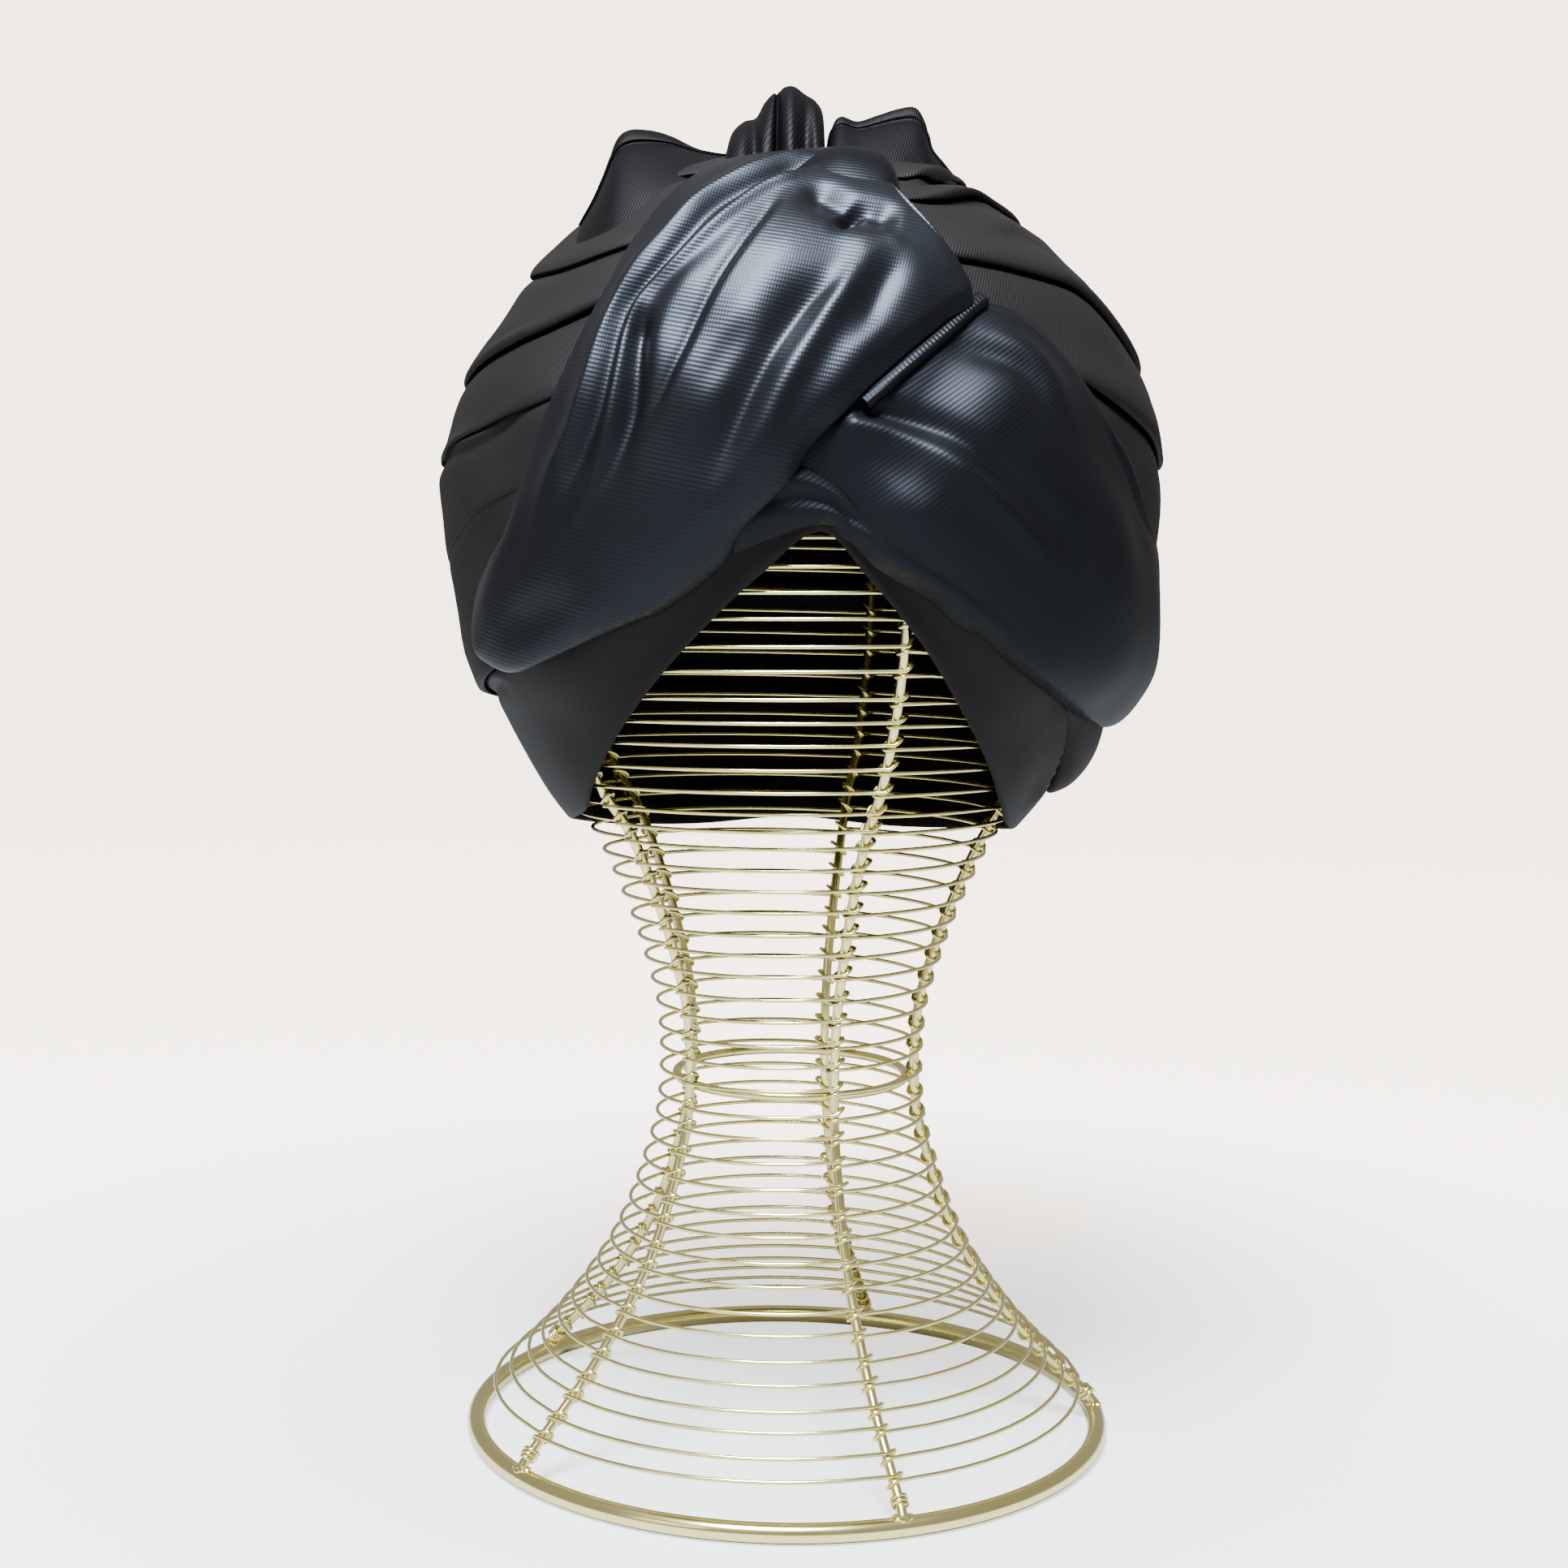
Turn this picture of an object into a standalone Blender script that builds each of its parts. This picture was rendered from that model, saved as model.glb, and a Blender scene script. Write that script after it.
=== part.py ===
"""Turban headwrap on a wire hat stand, in metres, +Z up, front towards -Y.

The stand is a base ring, ribs and a coarse net of hoops, in five bands one above the other with
a hair's gap across the ribs. The turban is a pleated cap whose hem hugs the wire head, two
crossing sash lobes, a rolled knot, a folded hem between the lobes, a side fold and three tufts on
the crown. Every cloth piece is a thin wall laid over the cap along rays from the centre of the
head, so each layer follows the one below it.
"""
import math

import bmesh
import bpy
import numpy as np

# Stand sizes
STAND_HEIGHT = 0.384
HEAD_HEIGHT = 0.283
NECK_HEIGHT = 0.117
BASE_RADIUS = 0.0971
NECK_RADIUS = 0.0383
HEAD_RADIUS = 0.091
TOP_RADIUS = 0.012
BASE_WIRE = 0.0058
RIB_WIRE = 0.0030
HOOP_WIRE = 0.0012
HOOP_HEIGHT = 0.0016
NECK_WIRE = 0.0028
NET_WALL = 0.0030
RIB_COUNT = 5
HOOP_COUNT = 20
NECK_HOOP = 5
BAND_GAP = 0.0004
BANDS = (("stand_foot", 4), ("stand_neck", 4), ("stand_shoulder", 4), ("stand_head", 4),
         ("stand_crown", 4))
FIRST_RIB_ANGLE = math.radians(19.3)
NET_STEPS = 4
RING_STEPS = 9

# Cloth sizes
CLOTH_WALL = 0.0022
LOBE_WALL = 0.0020
TUFT_WALL = 0.0018
SEAT_GAP = 0.0012
LAYER_GAP = 0.0009
CROWN_FULLNESS = 0.012
HEM_HUG_ANGLE = math.radians(16)
PLEAT_DEPTH = 0.0055
PLEAT_LIP_ANGLE = math.radians(1.3)
LEFT_PUFF = 0.0062
RIGHT_PUFF = 0.0062
FOLD_RELIEF = 0.0024
KNOT_HEIGHT = 0.0085
HEM_ROLL_HEIGHT = 0.0026
HEM_ROLL_ANGLE = math.radians(2.2)
SIDE_FOLD_HEIGHT = 0.0060
TUFT_HEIGHT = 0.018
CROWN_WIDTH = 0.100

# Stand profile: share of the height, share of the way between the two radii
FLARE_ROWS = ((0.055, 1.000), (0.128, 0.849), (0.239, 0.628), (0.376, 0.412),
              (0.513, 0.243), (0.684, 0.109), (0.897, 0.008), (1.000, 0.000))
LOWER_HEAD_ROWS = ((0.000, 0.000), (0.080, 0.015), (0.200, 0.106), (0.320, 0.245), (0.440, 0.431),
                   (0.530, 0.645), (0.622, 0.791), (0.712, 0.896), (0.805, 0.962), (1.000, 1.000))
UPPER_HEAD_ROWS = ((0.000, 0.000), (0.218, 0.025), (0.416, 0.101), (0.614, 0.241), (0.762, 0.418),
                   (0.880, 0.646), (0.960, 0.873), (1.000, 1.000))

# Hem of the cap: azimuth from the front, elevation from the head's centre, in degrees
HEM_ROWS = ((-180, -56.5), (-150, -57.5), (-120, -56.5), (-90, -54), (-70, -52), (-56.5, -49.5),
            (-46, -43.6), (-33, -33.8), (-18.7, -21.3), (-6.3, -10.3), (3.5, -3.2), (10.9, -10.2),
            (18.9, -18.5), (32.7, -33.1), (42.7, -41.4), (51, -47), (64, -52), (80, -54),
            (110, -56), (150, -57.5), (180, -56.5))

# Columns of the cap, in degrees from the front, closest along the brow opening
CAP_COLUMNS = (3.5, 8, 13, 19, 26, 34, 43, 53, 64, 74, 85, 96, 107, 118, 129, 140, 151, 162, 173,
               -176, -166, -156, -146, -136, -126, -116, -106, -96, -87, -78, -69, -61, -54, -46,
               -38, -30, -22, -15, -8.5, -2)

# Fullness of the crown as shares of CROWN_FULLNESS: elevation, front, left, back, right
FULLNESS_ROWS = ((-60, 0.00, 0.00, 0.00, 0.00), (-45, 0.00, 0.00, 0.02, 0.02),
                 (-35, 0.12, 0.10, 0.14, 0.12), (-22, 0.36, 0.66, 0.54, 0.62),
                 (-10, 0.36, 0.74, 0.80, 0.82), (3, 0.38, 0.90, 0.90, 1.05),
                 (15, 0.43, 0.82, 0.80, 1.10), (25, 0.42, 0.66, 0.68, 1.00),
                 (35, 0.43, 0.50, 0.52, 0.85), (45, 0.40, 0.48, 0.41, 0.66),
                 (55, 0.38, 0.55, 0.34, 0.58), (65, 0.38, 0.55, 0.32, 0.60),
                 (75, 0.26, 0.33, 0.25, 0.37), (90, 0.08, 0.08, 0.08, 0.08))

# Creases between the pleats: elevation at each azimuth of CREASE_AZIMUTHS
CREASE_AZIMUTHS = (-180, -135, -90, -60, -30, 0, 30, 60, 90, 135, 180)
CREASE_ROWS = ((-35, -34, -31, -24, -10, 8, -12, -28, -34, -36, -35),
               (-13, -11, -9, -1, 9, 20, 8, -4, -12, -14, -13),
               (8, 8, 7, 12, 20, 30, 26, 17, 9, 8, 8),
               (28, 25, 21, 26, 35, 42, 41, 38, 24, 26, 28),
               (46, 44, 41, 40, 45, 50, 54, 57, 53, 48, 46),
               (62, 58, 53, 58, 62, 62, 61, 63, 64, 63, 62))

# Depth of each crease: start at the left and right of the lobes in degrees,
# then shares of PLEAT_DEPTH at the left, back and right
CREASE_DEPTHS = ((-60, 84, 0.75, 0.45, 0.60), (-52, 84, 0.60, 0.50, 0.60),
                 (-46, 50, 0.75, 0.50, 0.90), (-40, 26, 1.00, 0.50, 1.00),
                 (-37, 32, 0.80, 0.45, 0.60), (-36, 31, 0.80, 0.40, 0.60))
CREASE_FADE = 14

# Sections of a lobe from the knot outwards: azimuth and elevation of its upper and lower edges,
# and how far its lower edge is lifted over the other lobe
LEFT_LOBE_ROWS = ((21, 68.5, 15.5, 42, 0.0), (13, 68.5, 23, 38, 0.5), (5, 68, 29, 31, 1.0),
                  (-4, 67.5, 23, 27, 1.0), (-17, 66, 16, 22, 1.0), (-29, 62, 10, 17, 1.0),
                  (-34, 53, 6, 13, 1.0), (-36, 44, 2, 9, 1.0), (-37, 35, -2, 3, 1.0),
                  (-40, 21, -8, -3, 0.7), (-43, 11, -12, -9, 0.3), (-49, -2, -20, -15, 0.0),
                  (-54, -7, -25, -17, 0.0), (-59, -12, -31, -19, 0.0), (-62, -18, -44, -23, 0.0),
                  (-60, -21, -50, -24, 0.0), (-56, -23, -54, -23.5, 0.0))
RIGHT_LOBE_ROWS = ((16, 25, -9, 0, 0.0), (23, 28.5, -2, 3, 0.0), (30, 31, 2, 0, 0.0),
                   (35, 31, 6, -4, 0.0), (40, 29, 9, -6, 0.0), (45, 25, 12, -9, 0.0),
                   (50, 18, 21, -14, 0.0), (54, 13, 25, -17, 0.0), (58, 9, 30, -19, 0.0),
                   (63, 2, 35, -22, 0.0), (70, -3, 41, -25, 0.0), (78, -8, 47, -27.5, 0.0),
                   (85, -13, 53, -29.5, 0.0), (91, -18, 60, -31.5, 0.0), (93, -23, 69, -33, 0.0),
                   (90, -29, 78, -33.5, 0.0), (86, -31.5, 83, -33, 0.0))

# Folds along a lobe: place across it near the knot and at the far end, width, share of FOLD_RELIEF
LEFT_FOLDS = ((0.20, 0.24, 0.09, 1.0), (0.36, 0.42, 0.07, -1.0), (0.54, 0.62, 0.10, 0.8),
              (0.74, 0.78, 0.07, -0.6), (0.88, 0.90, 0.06, 0.4))
RIGHT_FOLDS = ((0.22, 0.30, 0.10, 0.6), (0.40, 0.46, 0.08, -0.9), (0.60, 0.62, 0.12, 0.9),
               (0.84, 0.84, 0.07, -0.4))
LEFT_STEPS = 12
RIGHT_STEPS = 9

# Side fold under the right lobe: azimuth and elevation of its upper and lower edges, height share
SIDE_FOLD_ROWS = ((49, -31.5, 48, -35, 0.2), (54, -34.0, 53, -42, 0.8), (62, -35.2, 61, -45, 1.0),
                  (72, -36.3, 71, -45.5, 1.0), (82, -36.6, 81, -45, 0.9), (91, -35.8, 90, -43, 0.7),
                  (98, -33.5, 98, -38, 0.2))

# Knot at the lobes' upper end: azimuth and elevation of its left edge, crest and right edge
KNOT_ROWS = ((24.0, 68.5, 29.0, 68.0, 34.0, 67.0, 0.3), (22.5, 63.0, 27.5, 63.0, 33.0, 62.0, 1.0),
             (21.0, 57.0, 25.5, 57.0, 30.5, 57.0, 1.0), (19.3, 51.0, 23.5, 51.0, 28.0, 51.0, 1.0),
             (18.3, 46.0, 22.0, 46.0, 26.0, 46.0, 0.9), (18.6, 43.0, 20.8, 43.0, 23.5, 43.0, 0.3))

# Tufts on the crown: x and y of the front edge, crest and back edge as shares of CROWN_WIDTH,
# and the height as a share of TUFT_HEIGHT
TUFT_ROWS = {
    "tuft_left": ((-0.20, -0.38, -0.20, -0.29, -0.20, -0.20, 0.20),
                  (-0.26, -0.40, -0.27, -0.26, -0.27, -0.12, 0.40),
                  (-0.38, -0.37, -0.37, -0.21, -0.36, -0.05, 0.62),
                  (-0.50, -0.34, -0.465, -0.15, -0.45, 0.03, 0.90),
                  (-0.61, -0.27, -0.56, -0.11, -0.55, 0.06, 0.50),
                  (-0.66, -0.17, -0.64, -0.08, -0.63, 0.02, 0.12)),
    "tuft_middle": ((-0.165, -0.37, -0.165, -0.28, -0.165, -0.18, 0.28),
                    (-0.10, -0.37, -0.10, -0.26, -0.10, -0.12, 0.52),
                    (-0.045, -0.375, -0.045, -0.24, -0.045, -0.09, 0.95),
                    (0.015, -0.375, 0.015, -0.24, 0.015, -0.09, 1.00),
                    (0.075, -0.37, 0.075, -0.25, 0.075, -0.10, 0.75),
                    (0.115, -0.36, 0.115, -0.27, 0.115, -0.16, 0.20)),
    "tuft_right": ((0.145, -0.36, 0.145, -0.28, 0.145, -0.18, 0.30),
                   (0.21, -0.35, 0.21, -0.25, 0.21, -0.13, 0.50),
                   (0.28, -0.34, 0.28, -0.23, 0.28, -0.10, 0.62),
                   (0.355, -0.32, 0.345, -0.21, 0.34, -0.09, 0.80),
                   (0.42, -0.29, 0.40, -0.20, 0.39, -0.10, 0.50),
                   (0.46, -0.26, 0.45, -0.20, 0.44, -0.13, 0.12))}
TUFT_STEPS = 8

# Colours: slot, base colour, roughness, metallic
SATIN = ("black satin", (0.012, 0.012, 0.014, 1.0), 0.42, 0.0)
BRASS = ("pale gold wire", (0.80, 0.70, 0.38, 1.0), 0.18, 1.0)


def clear_scene():
    for item in list(bpy.data.objects):
        bpy.data.objects.remove(item, do_unlink=True)


def material(name, colour, roughness, metallic):
    made = bpy.data.materials.get(name) or bpy.data.materials.new(name)
    made.use_nodes = True
    shader = made.node_tree.nodes["Principled BSDF"]
    shader.inputs["Base Color"].default_value = colour
    shader.inputs["Roughness"].default_value = roughness
    shader.inputs["Metallic"].default_value = metallic
    return made


def smooth_curve(xs, ys):
    """A cubic through the points that never overshoots them."""
    xs = np.asarray(xs, float)
    ys = np.asarray(ys, float)
    steps = np.diff(xs)
    slopes = np.diff(ys) / steps
    tangents = np.zeros(len(xs))
    for i in range(1, len(xs) - 1):
        if slopes[i - 1] * slopes[i] > 0:
            before = 2 * steps[i] + steps[i - 1]
            after = steps[i] + 2 * steps[i - 1]
            tangents[i] = (before + after) / (before / slopes[i - 1] + after / slopes[i])
    tangents[0] = slopes[0]
    tangents[-1] = slopes[-1]

    def value(x):
        i = int(np.clip(np.searchsorted(xs, x) - 1, 0, len(steps) - 1))
        t = min(max((x - xs[i]) / steps[i], 0.0), 1.0)
        start = (1 + 2 * t) * (1 - t) ** 2 * ys[i] + t * (1 - t) ** 2 * steps[i] * tangents[i]
        end = t * t * (3 - 2 * t) * ys[i + 1] + t * t * (t - 1) * steps[i] * tangents[i + 1]
        return start + end
    return value


def smooth_step(t):
    t = min(max(t, 0.0), 1.0)
    return t * t * (3 - 2 * t)


def stand_profile():
    """Height and radius of the ribs' centre line, from the base ring to the top."""
    heights = [NECK_HEIGHT * share for share, _ in FLARE_ROWS]
    radii = [NECK_RADIUS + (BASE_RADIUS - NECK_RADIUS) * way for _, way in FLARE_ROWS]
    for share, way in LOWER_HEAD_ROWS[1:]:
        heights.append(NECK_HEIGHT + (HEAD_HEIGHT - NECK_HEIGHT) * share)
        radii.append(NECK_RADIUS + (HEAD_RADIUS - NECK_RADIUS) * way)
    for share, way in UPPER_HEAD_ROWS[1:]:
        heights.append(HEAD_HEIGHT + (STAND_HEIGHT - HEAD_HEIGHT) * share)
        radii.append(HEAD_RADIUS + (TOP_RADIUS - HEAD_RADIUS) * way)
    return heights, radii


PROFILE_HEIGHTS, PROFILE_RADII = stand_profile()
PROFILE = smooth_curve(PROFILE_HEIGHTS, PROFILE_RADII)


def profile_samples(count=600):
    """Points along the profile with their outward normals, as (height, radius, nz, nr)."""
    low = BASE_WIRE
    high = STAND_HEIGHT
    turn = np.linspace(0, math.pi / 2, count)
    heights = low + (high - low) * np.sin(turn)
    radii = np.array([PROFILE(z) for z in heights])
    dz = np.gradient(heights)
    dr = np.gradient(radii)
    length = np.hypot(dz, dr)
    return heights, radii, -dr / length, dz / length


SAMPLES = profile_samples()
ARC = np.concatenate(([0], np.cumsum(np.hypot(np.diff(SAMPLES[0]), np.diff(SAMPLES[1])))))


def profile_at(distance, outset):
    """Height and radius at a distance along the profile, moved out along its normal."""
    z, r, nz, nr = (np.interp(distance, ARC, column) for column in SAMPLES)
    return z + nz * outset, r + nr * outset


NET_OUTSET = RIB_WIRE / 2 + HOOP_WIRE
OUTER_HEIGHTS = SAMPLES[0] + SAMPLES[2] * NET_OUTSET - HEAD_HEIGHT
OUTER_RADII = SAMPLES[1] + SAMPLES[3] * NET_OUTSET
OUTER_ANGLES = np.arctan2(OUTER_HEIGHTS, OUTER_RADII)
OUTER_RANGES = np.hypot(OUTER_HEIGHTS, OUTER_RADII)
HEAD_PART = SAMPLES[0] > NECK_HEIGHT


def head_range(elevation):
    """Distance from the head's centre to the outside of the wire head, along a ray."""
    return float(np.interp(elevation, OUTER_ANGLES[HEAD_PART], OUTER_RANGES[HEAD_PART]))


def periodic(rows):
    """A smooth curve through (azimuth, value) rows in degrees that closes at the back."""
    azimuths = [row[0] for row in rows]
    values = [row[1] for row in rows]
    curve = smooth_curve(azimuths, values)
    return lambda azimuth: curve((math.degrees(azimuth) + 180) % 360 - 180)


HEM = periodic(HEM_ROWS)
CREASES = [periodic(tuple(zip(CREASE_AZIMUTHS, row))) for row in CREASE_ROWS]
FULLNESS = [smooth_curve([row[0] for row in FULLNESS_ROWS], [row[side] for row in FULLNESS_ROWS])
            for side in (1, 2, 3, 4)]


def side_mix(azimuth, front, left, back, right):
    """Blend of the four sides' values at an azimuth."""
    angle = azimuth % (2 * math.pi)
    order = (front, right, back, left, front)
    quarter = angle / (math.pi / 2)
    i = min(int(quarter), 3)
    t = smooth_step(quarter - i)
    return order[i] * (1 - t) + order[i + 1] * t


def fullness(azimuth, elevation):
    degrees = math.degrees(elevation)
    sides = [curve(degrees) for curve in FULLNESS]
    share = side_mix(azimuth, *sides)
    hug = smooth_step((elevation - math.radians(HEM(azimuth))) / HEM_HUG_ANGLE)
    return CROWN_FULLNESS * share * hug


def cap_range(azimuth, elevation):
    """Outside of the cap without its pleats: what the other pieces lie on."""
    return head_range(elevation) + SEAT_GAP + CLOTH_WALL + fullness(azimuth, elevation)


def crease_depth(index, azimuth):
    start_left, start_right, left, back, right = CREASE_DEPTHS[index]
    degrees = (math.degrees(azimuth) + 180) % 360 - 180
    if degrees < 0:
        begun = smooth_step((start_left - degrees) / CREASE_FADE)
        share = left + (back - left) * smooth_step((-degrees - 90) / 90)
    else:
        begun = smooth_step((degrees - start_right) / CREASE_FADE)
        share = right + (back - right) * smooth_step((degrees - 90) / 90)
    return PLEAT_DEPTH * share * begun


def pleated_range(azimuth, elevation, tucks):
    """Outside of the cap: tucks is a crease and how far below it, from 0 at the lip to 1."""
    reach = cap_range(azimuth, elevation)
    if tucks:
        index, share = tucks
        room = 0.85 * fullness(azimuth, elevation)
        reach -= min(crease_depth(index, azimuth) * share, room)
    return reach


def ray(azimuth, elevation):
    flat = math.cos(elevation)
    return np.array((flat * math.sin(azimuth), -flat * math.cos(azimuth), math.sin(elevation)))


HEAD_CENTRE = np.array((0.0, 0.0, HEAD_HEIGHT))


def angles_of(direction):
    azimuth = math.atan2(direction[0], -direction[1])
    return azimuth, math.asin(max(-1.0, min(1.0, direction[2] / np.linalg.norm(direction))))


def mesh_object(name, points, faces, finish):
    mesh = bpy.data.meshes.new(name)
    mesh.from_pydata([tuple(point) for point in points], [], faces)
    body = bmesh.new()
    body.from_mesh(mesh)
    bmesh.ops.remove_doubles(body, verts=body.verts, dist=1e-6)
    bmesh.ops.recalc_face_normals(body, faces=body.faces)
    body.to_mesh(mesh)
    body.free()
    mesh.shade_smooth()
    mesh.set_sharp_from_angle(angle=math.radians(40))
    made = bpy.data.objects.new(name, mesh)
    bpy.context.collection.objects.link(made)
    mesh.materials.append(material(*finish))
    return made


def patch_object(name, outer, inner, finish):
    """A curved plate from two grids of points, closed along its four edges."""
    rows = len(outer)
    columns = len(outer[0])
    points = [point for row in outer for point in row] + [point for row in inner for point in row]
    back = rows * columns

    def at(row, column):
        return row * columns + column
    faces = []
    for row in range(rows - 1):
        for column in range(columns - 1):
            corners = (at(row, column), at(row, column + 1), at(row + 1, column + 1), at(row + 1, column))
            faces.append(corners)
            faces.append(tuple(back + corner for corner in reversed(corners)))
    rim = [at(0, column) for column in range(columns)]
    rim += [at(row, columns - 1) for row in range(1, rows)]
    rim += [at(rows - 1, column) for column in range(columns - 2, -1, -1)]
    rim += [at(row, 0) for row in range(rows - 2, 0, -1)]
    for here, there in zip(rim, rim[1:] + rim[:1]):
        faces.append((there, here, back + here, back + there))
    return mesh_object(name, points, faces, finish)


def stand_columns():
    """Places round the stand: both sides of each rib, then even steps to the next rib."""
    columns = []
    for k in range(RIB_COUNT):
        angle = FIRST_RIB_ANGLE + 2 * math.pi * k / RIB_COUNT
        columns.append((angle, -1))
        columns.append((angle, 1))
        for step in range(1, NET_STEPS):
            columns.append((angle + 2 * math.pi / RIB_COUNT * step / NET_STEPS, 0))
    return columns


def band_rows(first, last):
    """Rows of a band as (distance along the ribs, wall, what lies above the row)."""
    places = np.linspace(0, ARC[-1], HOOP_COUNT + 1)[1:]
    rows = []
    if first > 0:
        rows.append(((places[first - 1] + places[first] + BAND_GAP) / 2, NET_WALL, "rib"))
    for index in range(first, last + 1):
        is_neck = index == NECK_HOOP
        height = NECK_WIRE if is_neck else HOOP_HEIGHT
        wall = NET_WALL + NECK_WIRE / 2 if is_neck else NET_WALL
        middle = min(places[index], ARC[-1] - height / 2)
        rows.append((middle - height / 2, wall, "hoop"))
        rows.append((middle + height / 2, wall, "rib"))
    if last < HOOP_COUNT - 1:
        rows.append(((places[last] + places[last + 1] - BAND_GAP) / 2, NET_WALL, "end"))
    return rows


def build_band(name, first, last):
    """Hoops first to last with the ribs between them. The lowest band stands on the base ring."""
    columns = stand_columns()
    count = len(columns)
    points = []
    faces = []

    def ring(distance, outset):
        z, r = profile_at(distance, outset)
        half = math.asin(RIB_WIRE / 2 / r)
        start = len(points)
        for angle, side in columns:
            turn = angle + side * half
            points.append((r * math.sin(turn), -r * math.cos(turn), z))
        return start

    def quad(a, b, column):
        after = (column + 1) % count
        faces.append((a + column, a + after, b + after, b + column))

    kinds = []
    rows = []
    for distance, wall, kind in band_rows(first, last):
        rows.append((ring(distance, NET_OUTSET), ring(distance, NET_OUTSET - wall)))
        kinds.append(kind)
    for index in range(len(rows) - 1):
        low, high = rows[index], rows[index + 1]
        is_hoop = kinds[index] == "hoop"
        for column in range(count):
            is_rib = columns[column][1] == -1
            if is_hoop or is_rib:
                quad(low[0], high[0], column)
                quad(high[1], low[1], column)
            if is_rib and not is_hoop:
                for side in (column, column + 1):
                    faces.append((low[0] + side, low[1] + side, high[1] + side, high[0] + side))
            if is_hoop and not is_rib:
                quad(low[1], low[0], column)
                quad(high[0], high[1], column)
    for column in range(count):
        if columns[column][1] == -1:
            quad(rows[-1][0], rows[-1][1], column)
            if first > 0:
                quad(rows[0][1], rows[0][0], column)
    if first == 0:
        build_base_ring(points, faces, columns, rows[0])
    return mesh_object(name, points, faces, BRASS)


def build_stand():
    first = 0
    for name, hoops in BANDS:
        build_band(name, first, first + hoops - 1)
        first += hoops


def build_base_ring(points, faces, columns, first_row):
    """An eight-sided ring with flats at its top and bottom, joined to the ribs' feet."""
    flats = 8
    corner = BASE_WIRE / 2 / math.cos(math.pi / flats)
    section = []
    for k in range(flats):
        turn = math.pi / 2 - math.pi / flats - 2 * math.pi * k / flats
        section.append((corner * math.cos(turn), BASE_WIRE / 2 + corner * math.sin(turn)))
    half = math.asin(RIB_WIRE / 2 / BASE_RADIUS)
    gap = 2 * math.pi / RIB_COUNT - 2 * half
    stations = []
    for column, (angle, side) in enumerate(columns):
        if side == -1:
            stations.append((angle - half, column))
            stations.extend((angle + half + gap * step / RING_STEPS, None) for step in range(RING_STEPS))
    starts = []
    for angle, _ in stations:
        starts.append(len(points))
        for out, z in section:
            r = BASE_RADIUS + out
            points.append((r * math.sin(angle), -r * math.cos(angle), z))
    for index, (_, column) in enumerate(stations):
        here = starts[index]
        there = starts[(index + 1) % len(stations)]
        for k in range(flats):
            after = (k + 1) % flats
            if k == flats - 1 and column is not None:
                foot = (here + after, there + after, there + k, here + k)
                outer, inner = first_row
                leg = (outer + column, outer + column + 1, inner + column + 1, inner + column)
                for side in range(4):
                    beside = (side + 1) % 4
                    faces.append((foot[side], foot[beside], leg[beside], leg[side]))
            else:
                faces.append((here + k, here + after, there + after, there + k))


def cap_rows(azimuth):
    """Elevations of the cap's rows at an azimuth, each with its crease and how far it is tucked."""
    hem = math.radians(HEM(azimuth))
    creases = [math.radians(curve(azimuth)) for curve in CREASES]
    rows = [(hem, None), (hem + (creases[0] - hem) * 0.22, None), (hem + (creases[0] - hem) * 0.6, (0, 0.4))]
    for index, crease in enumerate(creases):
        rows.append((crease - PLEAT_LIP_ANGLE, (index, 1.0)))
        rows.append((crease + PLEAT_LIP_ANGLE, (index, 0.0)))
        if index + 1 < len(creases):
            middle = crease + (creases[index + 1] - crease) * 0.55
            rows.append((middle, (index + 1, 0.35)))
    top = creases[-1]
    rows.append((top + (math.pi / 2 - top) * 0.45, None))
    rows.append((top + (math.pi / 2 - top) * 0.75, None))
    return rows


def build_cap():
    azimuths = [math.radians(column) for column in CAP_COLUMNS]
    count = len(azimuths)
    outer = []
    inner = []
    for azimuth in azimuths:
        for elevation, tucks in cap_rows(azimuth):
            reach = pleated_range(azimuth, elevation, tucks)
            outer.append(HEAD_CENTRE + reach * ray(azimuth, elevation))
            inner.append(HEAD_CENTRE + (reach - CLOTH_WALL) * ray(azimuth, elevation))
    per_column = len(outer) // count
    top = cap_range(0.0, math.pi / 2)
    points = outer + inner + [HEAD_CENTRE + top * ray(0, math.pi / 2),
                              HEAD_CENTRE + (top - CLOTH_WALL) * ray(0, math.pi / 2)]
    back = len(outer)
    faces = []
    for column in range(count):
        here = column * per_column
        there = (column + 1) % count * per_column
        for row in range(per_column - 1):
            corners = (here + row, there + row, there + row + 1, here + row + 1)
            faces.append(corners)
            faces.append(tuple(back + corner for corner in reversed(corners)))
        last = per_column - 1
        faces.append((here + last, there + last, 2 * back))
        faces.append((back + there + last, back + here + last, 2 * back + 1))
        faces.append((there, here, back + here, back + there))
    return mesh_object("cap", points, faces, SATIN)


def fold_relief(folds, along, across):
    """Height of the folds that run along a lobe, at a place on it."""
    height = 0.0
    for near, far, width, share in folds:
        offset = (across - (near + (far - near) * along)) / width
        height += share * math.exp(-offset * offset)
    ends = math.sin(math.pi * min(max(along, 0.0), 1.0)) ** 0.5
    edges = smooth_step(across / 0.12) * smooth_step((1 - across) / 0.12)
    return FOLD_RELIEF * height * ends * edges


def lobe_height(along, across, puff, folds, tongue):
    """Height of a lobe above its edges. The tongue is the flat part tucked under the other lobe."""
    bow = (1 - abs(2 * across - 1) ** 2.6) ** 0.75
    ends = smooth_step((along - tongue) / 0.16) if tongue else smooth_step((along + 0.10) / 0.18)
    ends *= smooth_step((1.02 - along) / 0.22)
    return puff * bow * ends + fold_relief(folds, along, across) * ends


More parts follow.
